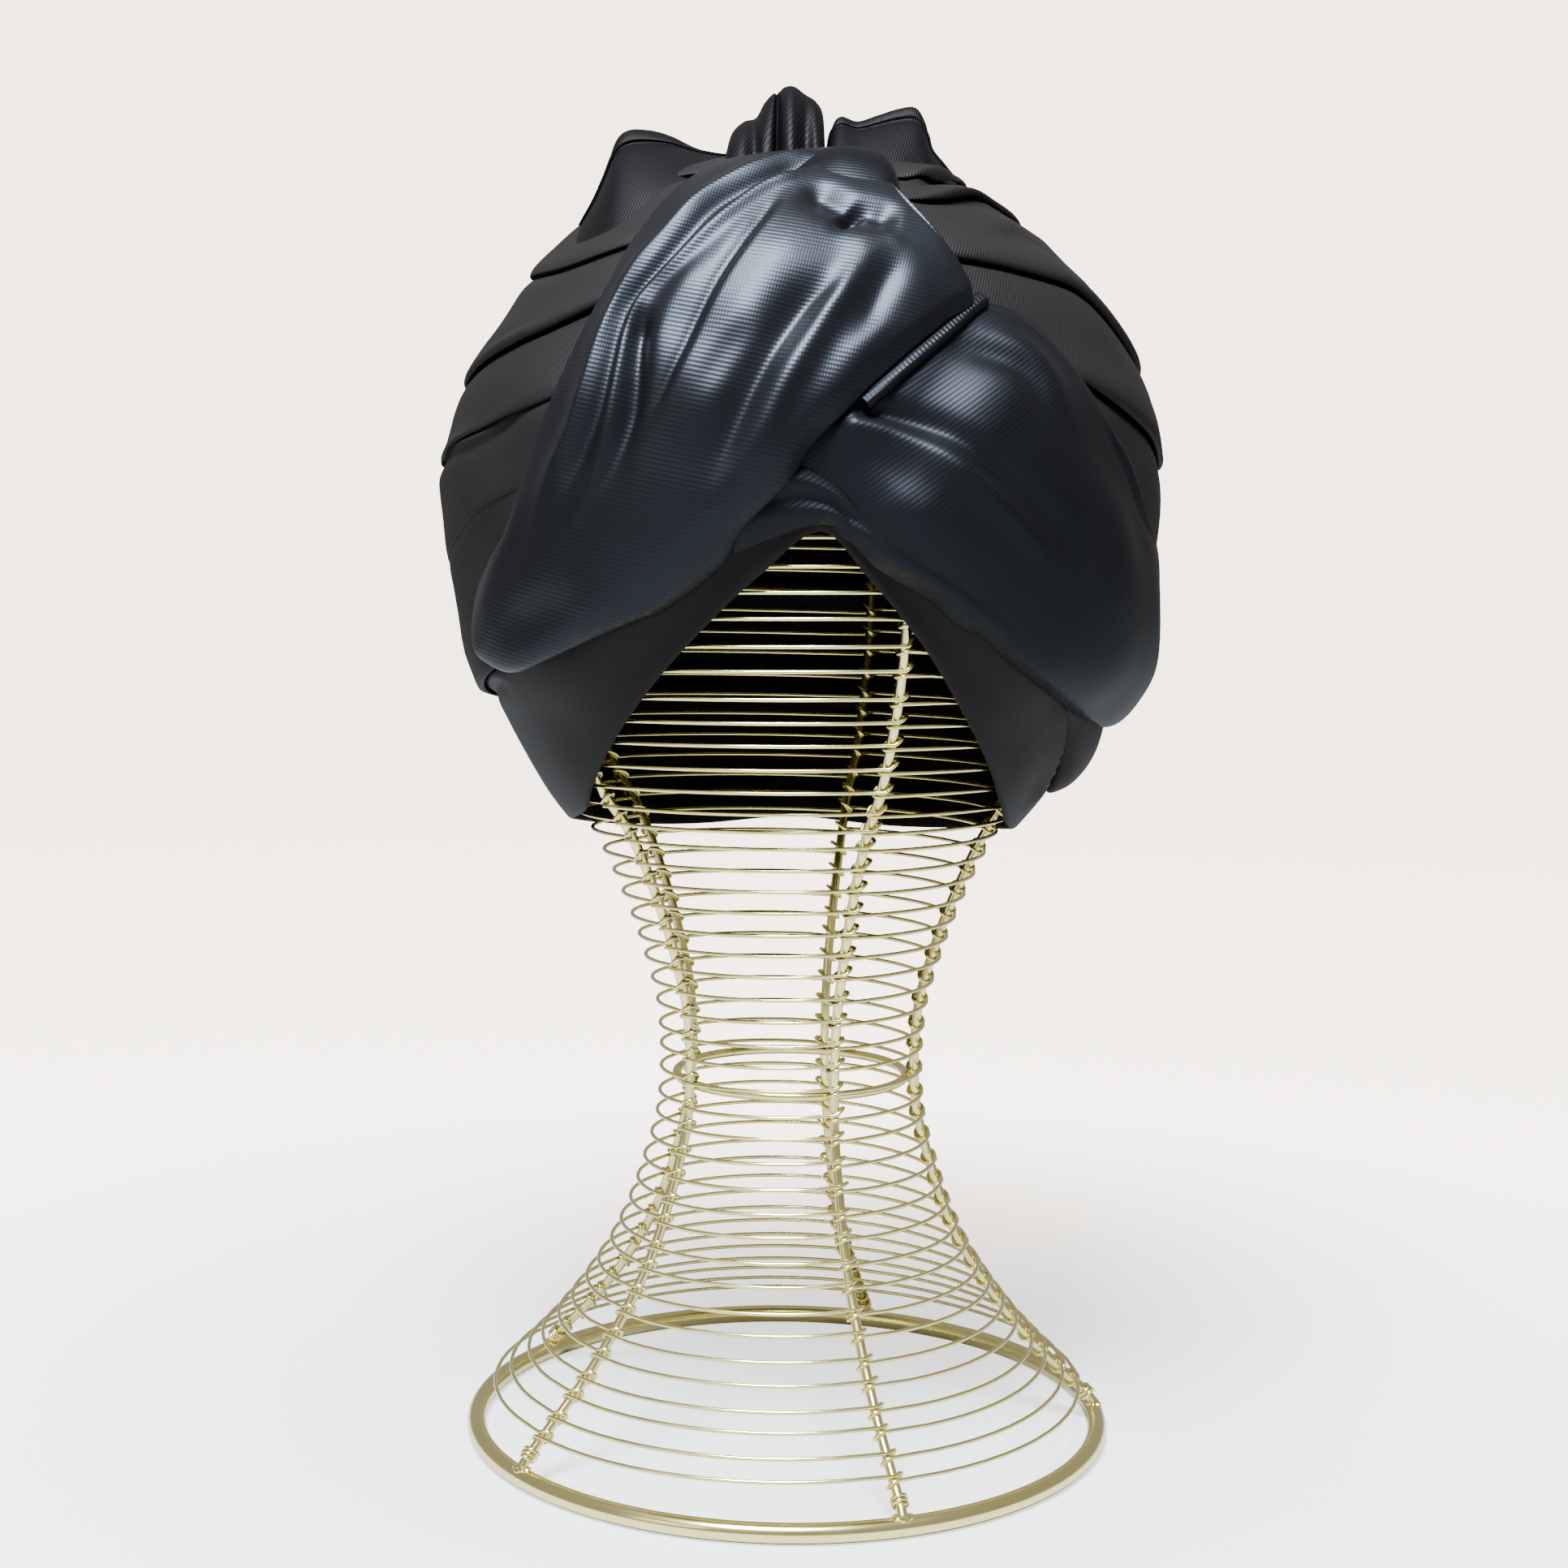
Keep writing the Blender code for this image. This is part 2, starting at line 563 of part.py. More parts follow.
def build_lobe(name, rows, steps, puff, folds, tongue):
    outer = []
    inner = []
    for index, (az_a, el_a, az_b, el_b, over) in enumerate(rows):
        along = index / (len(rows) - 1)
        outer_row = []
        inner_row = []
        for step in range(steps + 1):
            across = step / steps
            azimuth = math.radians(az_a + (az_b - az_a) * across)
            elevation = math.radians(el_a + (el_b - el_a) * across)
            lift = LAYER_GAP + over * across * (LOBE_WALL + LAYER_GAP)
            under = cap_range(azimuth, elevation) + lift
            under += lobe_height(along, across, puff, folds, tongue)
            outer_row.append(HEAD_CENTRE + (under + LOBE_WALL) * ray(azimuth, elevation))
            inner_row.append(HEAD_CENTRE + under * ray(azimuth, elevation))
        outer.append(outer_row)
        inner.append(inner_row)
    return patch_object(name, outer, inner, SATIN)


def arch(across, power=2.4):
    return max(0.0, 1 - abs(2 * across - 1) ** power) ** 0.6


def ridge_object(name, sections, steps, height, wall, base=0.0):
    """A hollow fold standing on the cap. Each section is a front, crest and back ray and a share."""
    outer = []
    inner = []
    for front, crest, back, share in sections:
        outer_row = []
        inner_row = []
        for step in range(steps + 1):
            t = step / steps
            direction = front * (1 - t) * (1 - 2 * t) + crest * 4 * t * (1 - t) + back * t * (2 * t - 1)
            direction = direction / np.linalg.norm(direction)
            azimuth, elevation = angles_of(direction)
            under = cap_range(azimuth, elevation) + LAYER_GAP + base + height * share * arch(t)
            outer_row.append(HEAD_CENTRE + (under + wall) * direction)
            inner_row.append(HEAD_CENTRE + under * direction)
        outer.append(outer_row)
        inner.append(inner_row)
    return patch_object(name, outer, inner, SATIN)


def degree_ray(azimuth, elevation):
    return ray(math.radians(azimuth), math.radians(elevation))


def build_side_fold():
    sections = []
    for az_a, el_a, az_b, el_b, share in SIDE_FOLD_ROWS:
        middle = degree_ray((az_a + az_b) / 2, (el_a + el_b) / 2)
        sections.append((degree_ray(az_a, el_a), middle, degree_ray(az_b, el_b), share))
    return ridge_object("side_fold", sections, 6, SIDE_FOLD_HEIGHT, LOBE_WALL)


def build_knot():
    sections = [(degree_ray(a, b), degree_ray(c, d), degree_ray(e, f), share)
                for a, b, c, d, e, f, share in KNOT_ROWS]
    return ridge_object("knot_roll", sections, 8, KNOT_HEIGHT, LOBE_WALL)


def build_hem_roll():
    """The folded hem that shows just outside the left lobe's lower edge, on the right lobe."""
    edge = [np.array((row[2], row[3])) for row in LEFT_LOBE_ROWS[2:7]]
    clear = math.degrees(LAYER_GAP / HEAD_RADIUS)
    width = math.degrees(HEM_ROLL_ANGLE)
    sections = []
    for index, point in enumerate(edge):
        along = edge[min(index + 1, len(edge) - 1)] - edge[max(index - 1, 0)]
        aside = np.array((-along[1], along[0])) / np.linalg.norm(along)
        near = point + aside * clear
        far = point + aside * (clear + width)
        rays = [degree_ray(*(near + (far - near) * t)) for t in (0, 0.5, 1)]
        share = 0.5 if index in (0, len(edge) - 1) else 1.0
        sections.append((*rays, share))
    return ridge_object("folded_hem", sections, 4, HEM_ROLL_HEIGHT, CLOTH_WALL / 2, LOBE_WALL + LAYER_GAP)


def crown_ray(x, y):
    """The ray to the cap's top surface at a place seen from above."""
    x = x * CROWN_WIDTH
    y = y * CROWN_WIDTH
    reach = cap_range(0.0, math.radians(70))
    direction = np.array((x, y, math.sqrt(reach * reach - x * x - y * y)))
    return direction / np.linalg.norm(direction)


def build_tufts():
    for name, rows in TUFT_ROWS.items():
        sections = [(crown_ray(a, b), crown_ray(c, d), crown_ray(e, f), share)
                    for a, b, c, d, e, f, share in rows]
        ridge_object(name, sections, TUFT_STEPS, TUFT_HEIGHT, TUFT_WALL)


def main():
    clear_scene()
    build_stand()
    build_cap()
    build_lobe("left_lobe", LEFT_LOBE_ROWS, LEFT_STEPS, LEFT_PUFF, LEFT_FOLDS, 0.0)
    build_lobe("right_lobe", RIGHT_LOBE_ROWS, RIGHT_STEPS, RIGHT_PUFF, RIGHT_FOLDS, 0.13)
    build_knot()
    build_hem_roll()
    build_side_fold()
    build_tufts()


main()
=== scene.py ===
# %% [markdown]
# # A turban headwrap on a wire hat stand
#
# Black satin, gathered into pleats over a wire head, with two crossing sash lobes, a knot and
# three tufts of cloth on the crown. All lengths are in metres, +Z is up and the front faces -Y.
# Every cloth piece follows rays from the centre of the wire head, so each layer knows what lies
# below it.

import math

import bmesh
import bpy
import numpy as np
from mathutils import Matrix


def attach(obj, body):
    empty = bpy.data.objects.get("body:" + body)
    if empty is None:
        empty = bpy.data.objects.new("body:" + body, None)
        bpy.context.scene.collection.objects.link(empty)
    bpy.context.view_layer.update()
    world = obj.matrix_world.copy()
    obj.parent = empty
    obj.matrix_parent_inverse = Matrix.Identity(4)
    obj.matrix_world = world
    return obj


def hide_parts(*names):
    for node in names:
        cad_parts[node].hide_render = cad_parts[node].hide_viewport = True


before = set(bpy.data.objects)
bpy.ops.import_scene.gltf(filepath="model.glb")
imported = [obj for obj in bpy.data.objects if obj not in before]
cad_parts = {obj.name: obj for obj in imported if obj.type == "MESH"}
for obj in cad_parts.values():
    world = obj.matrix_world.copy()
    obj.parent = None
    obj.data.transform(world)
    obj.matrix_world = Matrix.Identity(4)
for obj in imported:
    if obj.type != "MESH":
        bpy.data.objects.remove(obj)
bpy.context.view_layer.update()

# %% [markdown]
# ## Sizes
# The same sizes as the solids, then the finer ones that only the picture needs.

# %% Sizes
STAND_HEIGHT = 0.384
HEAD_HEIGHT = 0.283
NECK_HEIGHT = 0.117
BASE_RADIUS = 0.0971
NECK_RADIUS = 0.0383
HEAD_RADIUS = 0.091
TOP_RADIUS = 0.012
BASE_WIRE = 0.0058
RIB_WIRE = 0.0030
HOOP_WIRE = 0.0012
NECK_WIRE = 0.0028
RIB_COUNT = 5
FIRST_RIB = math.radians(19.3)
HOOP_PITCH = 0.0073
NECK_RING_HEIGHT = 0.111

CLOTH_WALL = 0.0022
LOBE_WALL = 0.0020
SEAT_GAP = 0.0012
LAYER_GAP = 0.0009
CROWN_FULLNESS = 0.012
HEM_HUG = math.radians(16)
PLEAT_DEPTH = 0.0055
LEFT_PUFF = 0.0062
RIGHT_PUFF = 0.0062
SATIN = 0.0008
MM = 0.001
NODES_OF_STAND = ("stand_foot", "stand_neck", "stand_shoulder", "stand_head", "stand_crown")

FLARE_ROWS = ((0.055, 1.000), (0.128, 0.849), (0.239, 0.628), (0.376, 0.412),
              (0.513, 0.243), (0.684, 0.109), (0.897, 0.008), (1.000, 0.000))
LOWER_HEAD_ROWS = ((0.000, 0.000), (0.080, 0.015), (0.200, 0.106), (0.320, 0.245), (0.440, 0.431),
                   (0.530, 0.645), (0.622, 0.791), (0.712, 0.896), (0.805, 0.962), (1.000, 1.000))
UPPER_HEAD_ROWS = ((0.000, 0.000), (0.218, 0.025), (0.416, 0.101), (0.614, 0.241), (0.762, 0.418),
                   (0.880, 0.646), (0.960, 0.873), (1.000, 1.000))
HEM_ROWS = ((-180, -56.5), (-150, -57.5), (-120, -56.5), (-90, -54), (-70, -52), (-56.5, -49.5),
            (-46, -43.6), (-33, -33.8), (-18.7, -21.3), (-6.3, -10.3), (3.5, -3.2), (10.9, -10.2),
            (18.9, -18.5), (32.7, -33.1), (42.7, -41.4), (51, -47), (64, -52), (80, -54),
            (110, -56), (150, -57.5), (180, -56.5))
FULLNESS_ROWS = ((-60, 0.00, 0.00, 0.00, 0.00), (-45, 0.00, 0.00, 0.02, 0.02),
                 (-35, 0.12, 0.10, 0.14, 0.12), (-22, 0.36, 0.66, 0.54, 0.62),
                 (-10, 0.36, 0.74, 0.80, 0.82), (3, 0.38, 0.90, 0.90, 1.05),
                 (15, 0.43, 0.82, 0.80, 1.10), (25, 0.42, 0.66, 0.68, 1.00),
                 (35, 0.43, 0.50, 0.52, 0.85), (45, 0.40, 0.48, 0.41, 0.66),
                 (55, 0.38, 0.55, 0.34, 0.58), (65, 0.38, 0.55, 0.32, 0.60),
                 (75, 0.26, 0.33, 0.25, 0.37), (90, 0.08, 0.08, 0.08, 0.08))
CREASE_AZIMUTHS = (-180, -135, -90, -60, -30, 0, 30, 60, 90, 135, 180)
CREASE_ROWS = ((-35, -34, -31, -24, -10, 8, -12, -28, -34, -36, -35),
               (-13, -11, -9, -1, 9, 20, 8, -4, -12, -14, -13),
               (8, 8, 7, 12, 20, 30, 26, 17, 9, 8, 8),
               (28, 25, 21, 26, 35, 42, 41, 38, 24, 26, 28),
               (46, 44, 41, 40, 45, 50, 54, 57, 53, 48, 46),
               (62, 58, 53, 58, 62, 62, 61, 63, 64, 63, 62))
CREASE_DEPTHS = ((-60, 84, 0.75, 0.45, 0.60), (-52, 84, 0.60, 0.50, 0.60),
                 (-46, 50, 0.75, 0.50, 0.90), (-40, 26, 1.00, 0.50, 1.00),
                 (-37, 32, 0.80, 0.45, 0.60), (-36, 31, 0.80, 0.40, 0.60))
CREASE_FADE = 14
# Share of each pleat's depth kept on the left, and degrees that each side's pleats start sooner
LEFT_SOFTNESS = (0.6, 0.12, 0.3, 0.75, 0.45, 0.45)
LEFT_START_SHIFT = 14
RIGHT_START_SHIFT = 8
LEFT_LOBE_ROWS = ((21, 68.5, 15.5, 42, 0.0), (13, 68.5, 21.5, 36.6, 0.5), (5, 68, 28.6, 30.6, 1.0),
                  (-4, 67.5, 23, 27, 1.0), (-17, 66, 16, 22, 1.0), (-29, 62, 10, 17, 1.0),
                  (-34, 53, 6, 13, 1.0), (-36, 44, 2, 9, 1.0), (-37, 35, -2, 3, 1.0),
                  (-40, 21, -8, -3, 0.7), (-43, 11, -12, -9, 0.3), (-49, -2, -20, -15, 0.0),
                  (-54, -7, -25, -17, 0.0), (-59, -12, -31, -19, 0.0), (-62, -18, -44, -23, 0.0),
                  (-60, -21, -50, -24, 0.0), (-56, -23, -54, -23.5, 0.0))
RIGHT_LOBE_ROWS = ((16, 25, -9, 0, 0.0), (23, 28.5, -2, 3, 0.0), (30, 31, 2, 0, 0.0),
                   (35, 31, 6, -4, 0.0), (40, 29, 9, -6, 0.0), (45, 25, 12, -9, 0.0),
                   (50, 18, 21, -14, 0.0), (54, 13, 25, -17, 0.0), (58, 9, 30, -19, 0.0),
                   (63, 2, 35, -22, 0.0), (70, -3, 41, -25, 0.0), (78, -8, 47, -27.5, 0.0),
                   (85, -13, 53, -29.5, 0.0), (91, -18, 60, -31.5, 0.0), (93, -23, 69, -33, 0.0),
                   (90, -29, 78, -33.5, 0.0), (86, -31.5, 83, -33, 0.0))
print("OK sizes: head", HEAD_RADIUS * 2000, "mm wide")

# %% [markdown]
# ## Curves and directions
# Everything is worked out on whole arrays at once.

# %% Curves and directions
def smooth_curve(xs, ys):
    """A cubic through the points that never overshoots them."""
    xs = np.asarray(xs, float)
    ys = np.asarray(ys, float)
    steps = np.diff(xs)
    slopes = np.diff(ys) / steps
    tangents = np.zeros(len(xs))
    for i in range(1, len(xs) - 1):
        if slopes[i - 1] * slopes[i] > 0:
            before = 2 * steps[i] + steps[i - 1]
            after = steps[i] + 2 * steps[i - 1]
            tangents[i] = (before + after) / (before / slopes[i - 1] + after / slopes[i])
    tangents[0] = slopes[0]
    tangents[-1] = slopes[-1]

    def value(x):
        i = np.clip(np.searchsorted(xs, x) - 1, 0, len(steps) - 1)
        t = np.clip((x - xs[i]) / steps[i], 0.0, 1.0)
        start = (1 + 2 * t) * (1 - t) ** 2 * ys[i] + t * (1 - t) ** 2 * steps[i] * tangents[i]
        end = t * t * (3 - 2 * t) * ys[i + 1] + t * t * (t - 1) * steps[i] * tangents[i + 1]
        return start + end
    return value


def smooth_rows(rows, places):
    """Values along a soft curve through rows that are one apart."""
    rows = np.asarray(rows, float)
    ends = np.concatenate((2 * rows[:1] - rows[1:2], rows, 2 * rows[-1:] - rows[-2:-1]))
    i = np.clip(np.floor(places).astype(int), 0, len(rows) - 2)
    t = (places - i).reshape((-1,) + (1,) * (rows.ndim - 1))
    a, b, c, d = ends[i], ends[i + 1], ends[i + 2], ends[i + 3]
    cubic = (3 * b - a - 3 * c + d) * t + (2 * a - 5 * b + 4 * c - d)
    return 0.5 * (2 * b + (c - a) * t + cubic * t * t)


def smooth_step(t):
    t = np.clip(t, 0.0, 1.0)
    return t * t * (3 - 2 * t)


def ray(azimuth, elevation):
    flat = np.cos(elevation)
    return np.stack((flat * np.sin(azimuth), -flat * np.cos(azimuth), np.sin(elevation)), axis=-1)


def stand_profile():
    heights = [NECK_HEIGHT * share for share, _ in FLARE_ROWS]
    radii = [NECK_RADIUS + (BASE_RADIUS - NECK_RADIUS) * way for _, way in FLARE_ROWS]
    for share, way in LOWER_HEAD_ROWS[1:]:
        heights.append(NECK_HEIGHT + (HEAD_HEIGHT - NECK_HEIGHT) * share)
        radii.append(NECK_RADIUS + (HEAD_RADIUS - NECK_RADIUS) * way)
    for share, way in UPPER_HEAD_ROWS[1:]:
        heights.append(HEAD_HEIGHT + (STAND_HEIGHT - HEAD_HEIGHT) * share)
        radii.append(HEAD_RADIUS + (TOP_RADIUS - HEAD_RADIUS) * way)
    return smooth_curve(heights, radii)


PROFILE = stand_profile()
PROFILE_Z = BASE_WIRE + (STAND_HEIGHT - BASE_WIRE) * np.sin(np.linspace(0, math.pi / 2, 900))
PROFILE_R = PROFILE(PROFILE_Z)
STEP = np.hypot(np.gradient(PROFILE_Z), np.gradient(PROFILE_R))
NORMAL_Z = -np.gradient(PROFILE_R) / STEP
NORMAL_R = np.gradient(PROFILE_Z) / STEP
ARC = np.concatenate(([0], np.cumsum(np.hypot(np.diff(PROFILE_Z), np.diff(PROFILE_R)))))
CAGE = RIB_WIRE / 2 + HOOP_WIRE
CAGE_Z = PROFILE_Z + NORMAL_Z * CAGE - HEAD_HEIGHT
CAGE_R = PROFILE_R + NORMAL_R * CAGE
IN_HEAD = PROFILE_Z > NECK_HEIGHT
CAGE_ANGLE = np.arctan2(CAGE_Z, CAGE_R)[IN_HEAD]
CAGE_RANGE = np.hypot(CAGE_Z, CAGE_R)[IN_HEAD]
CENTRE = np.array((0.0, 0.0, HEAD_HEIGHT))


def periodic(azimuths, values):
    curve = smooth_curve(azimuths, values)
    return lambda azimuth: curve((np.degrees(azimuth) + 180) % 360 - 180)


HEM = periodic([row[0] for row in HEM_ROWS], [row[1] for row in HEM_ROWS])
CREASES = [periodic(CREASE_AZIMUTHS, row) for row in CREASE_ROWS]
FULLNESS = [smooth_curve([row[0] for row in FULLNESS_ROWS], [row[side] for row in FULLNESS_ROWS])
            for side in (1, 4, 3, 2)]


def cap_range(azimuth, elevation):
    """Distance from the head's centre to the outside of the unpleated cap."""
    degrees = np.degrees(elevation)
    front, right, back, left = [curve(degrees) for curve in FULLNESS]
    quarter = (azimuth % (2 * math.pi)) / (math.pi / 2)
    way = smooth_step(quarter % 1)
    side = np.minimum(quarter.astype(int), 3)
    here = np.choose(side, (front, right, back, left))
    after = np.choose(side, (right, back, left, front))
    share = here * (1 - way) + after * way
    hug = smooth_step((elevation - np.radians(HEM(azimuth))) / HEM_HUG)
    head = np.interp(elevation, CAGE_ANGLE, CAGE_RANGE)
    return head + SEAT_GAP + CLOTH_WALL + CROWN_FULLNESS * share * hug


print("OK curves: crown at", round(HEAD_HEIGHT + float(cap_range(np.array(0.0), np.array(1.57))), 4))

# %% [markdown]
# ## Folds
# A fold line is a soft path over the head with a height on each side of it. Different heights on
# the two sides make a lip with a crease under it.

# %% Folds
FOLD_SAMPLES = 120
FOLD_END_SPREAD = 3.0
RIPPLE_WAVES = 7
RIPPLE_SPREAD = (0.6, 1.6)
RIPPLE_LEVEL = 2.6


def fold_relief(azimuth, elevation, lines):
    """Height of all the fold lines at each place."""
    shape = azimuth.shape
    here = ray(azimuth, elevation).reshape(-1, 3)
    total = np.zeros(len(here))
    for path, right, right_width, left, left_width, edge, fade in lines:
        samples = np.linspace(0, len(path) - 1, FOLD_SAMPLES)
        degrees = smooth_rows(path, samples)
        line = ray(np.radians(degrees[:, 0]), np.radians(degrees[:, 1]))
        along = np.gradient(line, axis=0)
        along /= np.linalg.norm(along, axis=1)[:, None]
        side = np.cross(line, along)
        nearest = np.argmax(here @ line.T, axis=1)
        gap = here - line[nearest]
        across = np.degrees(np.sum(gap * side[nearest], axis=1))
        beyond = np.degrees(np.sum(gap * along[nearest], axis=1))
        place = nearest / (len(samples) - 1)
        ends = smooth_step(place / fade[0]) * smooth_step((1 - place) / fade[1])
        ends *= np.exp(-(beyond / FOLD_END_SPREAD) ** 2)
        mix = smooth_step(across / edge * 0.5 + 0.5)
        shaped = mix * right * np.exp(-(across / right_width) ** 2)
        shaped += (1 - mix) * left * np.exp(-(across / left_width) ** 2)
        total += MM * ends * shaped
    return total.reshape(shape)


def ripple(points, size, height, seed):
    """Slow uneven waves, so that no surface is perfectly even."""
    rng = np.random.default_rng(seed)
    total = np.zeros(points.shape[:-1])
    for _ in range(RIPPLE_WAVES):
        wave = rng.normal(size=3)
        wave *= rng.uniform(*RIPPLE_SPREAD) / np.linalg.norm(wave) * 2 * math.pi / size
        total += np.sin(points @ wave + rng.uniform(0, 2 * math.pi))
    return total * height / RIPPLE_LEVEL


# %% [markdown]
# ## Cloth and wire makers
# Cloth starts as a grid of points with its own measure of length and width, in metres, and gets
# its thickness from Solidify. Wire is swept along paths by a node group with named inputs.

# %% Cloth maker
CROWN_STEPS = 8


def cloth_measure(corners):
    """Width and length of each face corner over the head, in metres, without a jump inside a face."""
    away = corners - CENTRE
    reach = np.linalg.norm(away, axis=2)
    azimuth = np.arctan2(away[..., 0], -away[..., 1])
    torn = np.ptp(azimuth, axis=1) > math.pi
    azimuth[torn] = azimuth[torn] % (2 * math.pi)
    elevation = np.arcsin(away[..., 2] / reach)
    return np.stack((azimuth * np.cos(elevation), elevation), axis=2) * reach[..., None]


def grid_cloth(name, points, finish, node_name, wall=SATIN, closed=False):
    """A smooth sheet through a grid of points, rows by columns, that stands for a solid."""
    rows, columns = points.shape[:2]
    row, column = np.meshgrid(np.arange(rows - 1), np.arange(columns if closed else columns - 1),
                              indexing="ij")
    after = (column + 1) % columns
    faces = np.stack((row * columns + column, row * columns + after,
                      (row + 1) * columns + after, (row + 1) * columns + column), axis=2).reshape(-1, 4)
    flat = points.reshape(-1, 3)
    corners = flat[faces]
    normals = np.cross(corners[:, 2] - corners[:, 0], corners[:, 3] - corners[:, 1])
    if np.sum(normals * (corners.mean(axis=1) - CENTRE)) < 0:
        faces = faces[:, ::-1]
        corners = corners[:, ::-1]
    mesh = bpy.data.meshes.new(name)
    mesh.from_pydata(flat.tolist(), [], faces.tolist())
    layer = mesh.uv_layers.new(name="cloth")
    layer.data.foreach_set("uv", cloth_measure(corners).astype(np.float32).ravel())
    body = bmesh.new()
    body.from_mesh(mesh)
    bmesh.ops.remove_doubles(body, verts=body.verts, dist=1e-6)
    body.to_mesh(mesh)
    body.free()
    mesh.shade_smooth()
    made = bpy.data.objects.new(name, mesh)
    bpy.context.collection.objects.link(made)
    mesh.materials.append(finish)
    thick = made.modifiers.new("Cloth thickness", "SOLIDIFY")
    thick.thickness = wall
    thick.offset = -1
    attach(made, "root")
    if node_name:
        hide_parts(node_name)
    return made


def area_of(piece):
    return round(sum(face.area for face in piece.data.polygons), 4)


def soft_net(sections, along_count, across_count):
    """Values on a fine grid, softly through a short table of sections of equal length."""
    net = np.asarray(sections, float)
    fine = smooth_rows(net, np.linspace(0, len(net) - 1, along_count))
    turned = smooth_rows(fine.transpose(1, 0, 2), np.linspace(0, net.shape[1] - 1, across_count))
    return turned.transpose(1, 0, 2)


def over_cap(net):
    """Points over the cap from azimuth, elevation in degrees and height in millimetres."""
    azimuth = np.radians(net[..., 0])
    elevation = np.radians(net[..., 1])
    reach = cap_range(azimuth, elevation) + net[..., 2] * MM
    return CENTRE + reach[..., None] * ray(azimuth, elevation)


def over_crown(net):
    """Points over the crown from x, y and upright height above the cap, all in millimetres."""
    x, y = net[..., 0] * MM, net[..., 1] * MM
    flat = np.hypot(x, y)
    azimuth = np.arctan2(x, -y)
    rise = np.full(flat.shape, HEAD_RADIUS)
    for _ in range(CROWN_STEPS):
        elevation = np.arctan2(rise, flat)
        rise = cap_range(azimuth, elevation) * np.sin(elevation)
    return np.stack((x, y, HEAD_HEIGHT + rise + net[..., 2] * MM), axis=-1)


# %% Wire maker
def node_group(name, sockets):
    group = bpy.data.node_groups.new(name, "GeometryNodeTree")
    group.interface.new_socket("Geometry", in_out="OUTPUT", socket_type="NodeSocketGeometry")
    group.interface.new_socket("Geometry", in_out="INPUT", socket_type="NodeSocketGeometry")
    for label, kind in sockets:
        group.interface.new_socket(label, in_out="INPUT", socket_type=kind)
    return group, group.nodes.new("NodeGroupInput"), group.nodes.new("NodeGroupOutput")


def chain(group, *steps):
    """Joins the geometry sockets of nodes in a row."""
    for before, after in zip(steps, steps[1:]):
        group.links.new(before.outputs[0], after.inputs[0])


def make_sweep_group():
    """Sweeps a round wire along the edges of a mesh."""
    group, start, end = node_group("Wire sweep", (("Radius", "NodeSocketFloat"),
                                                  ("Sides", "NodeSocketInt"),
                                                  ("Finish", "NodeSocketMaterial")))
    path = group.nodes.new("GeometryNodeMeshToCurve")
    section = group.nodes.new("GeometryNodeCurvePrimitiveCircle")
    sweep = group.nodes.new("GeometryNodeCurveToMesh")
    sweep.inputs["Fill Caps"].default_value = True
    smooth = group.nodes.new("GeometryNodeSetShadeSmooth")
    paint = group.nodes.new("GeometryNodeSetMaterial")
    chain(group, start, path, sweep, smooth, paint, end)
    group.links.new(start.outputs["Radius"], section.inputs["Radius"])
    group.links.new(start.outputs["Sides"], section.inputs["Resolution"])
    group.links.new(section.outputs[0], sweep.inputs["Profile Curve"])
    group.links.new(start.outputs["Finish"], paint.inputs["Material"])
    return group


def make_around_group():
    """Repeats a piece at even turns round the upright axis."""
    group, start, end = node_group("Repeat around", (("Count", "NodeSocketInt"),
                                                     ("First angle", "NodeSocketFloat"),
                                                     ("Finish", "NodeSocketMaterial")))
    points = group.nodes.new("GeometryNodePoints")
    index = group.nodes.new("GeometryNodeInputIndex")
    part = group.nodes.new("ShaderNodeMath")
    part.operation = "DIVIDE"
    turn = group.nodes.new("ShaderNodeMath")
    turn.operation = "MULTIPLY_ADD"
    turn.inputs[1].default_value = 2 * math.pi
    angles = group.nodes.new("ShaderNodeCombineXYZ")
    place = group.nodes.new("GeometryNodeInstanceOnPoints")
    realize = group.nodes.new("GeometryNodeRealizeInstances")
    paint = group.nodes.new("GeometryNodeSetMaterial")
    group.links.new(start.outputs["Count"], points.inputs["Count"])
    group.links.new(index.outputs[0], part.inputs[0])
    group.links.new(start.outputs["Count"], part.inputs[1])
    group.links.new(part.outputs[0], turn.inputs[0])
    group.links.new(start.outputs["First angle"], turn.inputs[2])
    group.links.new(turn.outputs[0], angles.inputs["Z"])
    group.links.new(angles.outputs[0], place.inputs["Rotation"])
    group.links.new(start.outputs["Geometry"], place.inputs["Instance"])
    chain(group, points, place, realize, paint, end)
    group.links.new(start.outputs["Finish"], paint.inputs["Material"])
    return group


def grow(piece, group, **values):
    """Runs a node group on a piece with its named inputs set, and keeps the result as its mesh."""
    modifier = piece.modifiers.new(group.name, "NODES")
    modifier.node_group = group
    for item in group.interface.items_tree:
        if item.in_out == "INPUT" and item.name in values:
            modifier[item.identifier] = values[item.name]
    depsgraph = bpy.context.evaluated_depsgraph_get()
    result = bpy.data.meshes.new_from_object(piece.evaluated_get(depsgraph))
    piece.modifiers.remove(modifier)
    piece.data = result
    return piece


def path_piece(name, paths, closed=False):
    """An object whose edges are the paths that a wire follows."""
    points = []
    edges = []
    for path in paths:
        first = len(points)
        points += [tuple(point) for point in path]
        edges += [(first + i, first + i + 1) for i in range(len(path) - 1)]
        if closed:
            edges.append((len(points) - 1, first))
    mesh = bpy.data.meshes.new(name)
    mesh.from_pydata(points, edges, [])
    made = bpy.data.objects.new(name, mesh)
    bpy.context.collection.objects.link(made)
    return made


SWEEP = make_sweep_group()
AROUND = make_around_group()
print("OK makers:", SWEEP.name, "and", AROUND.name)

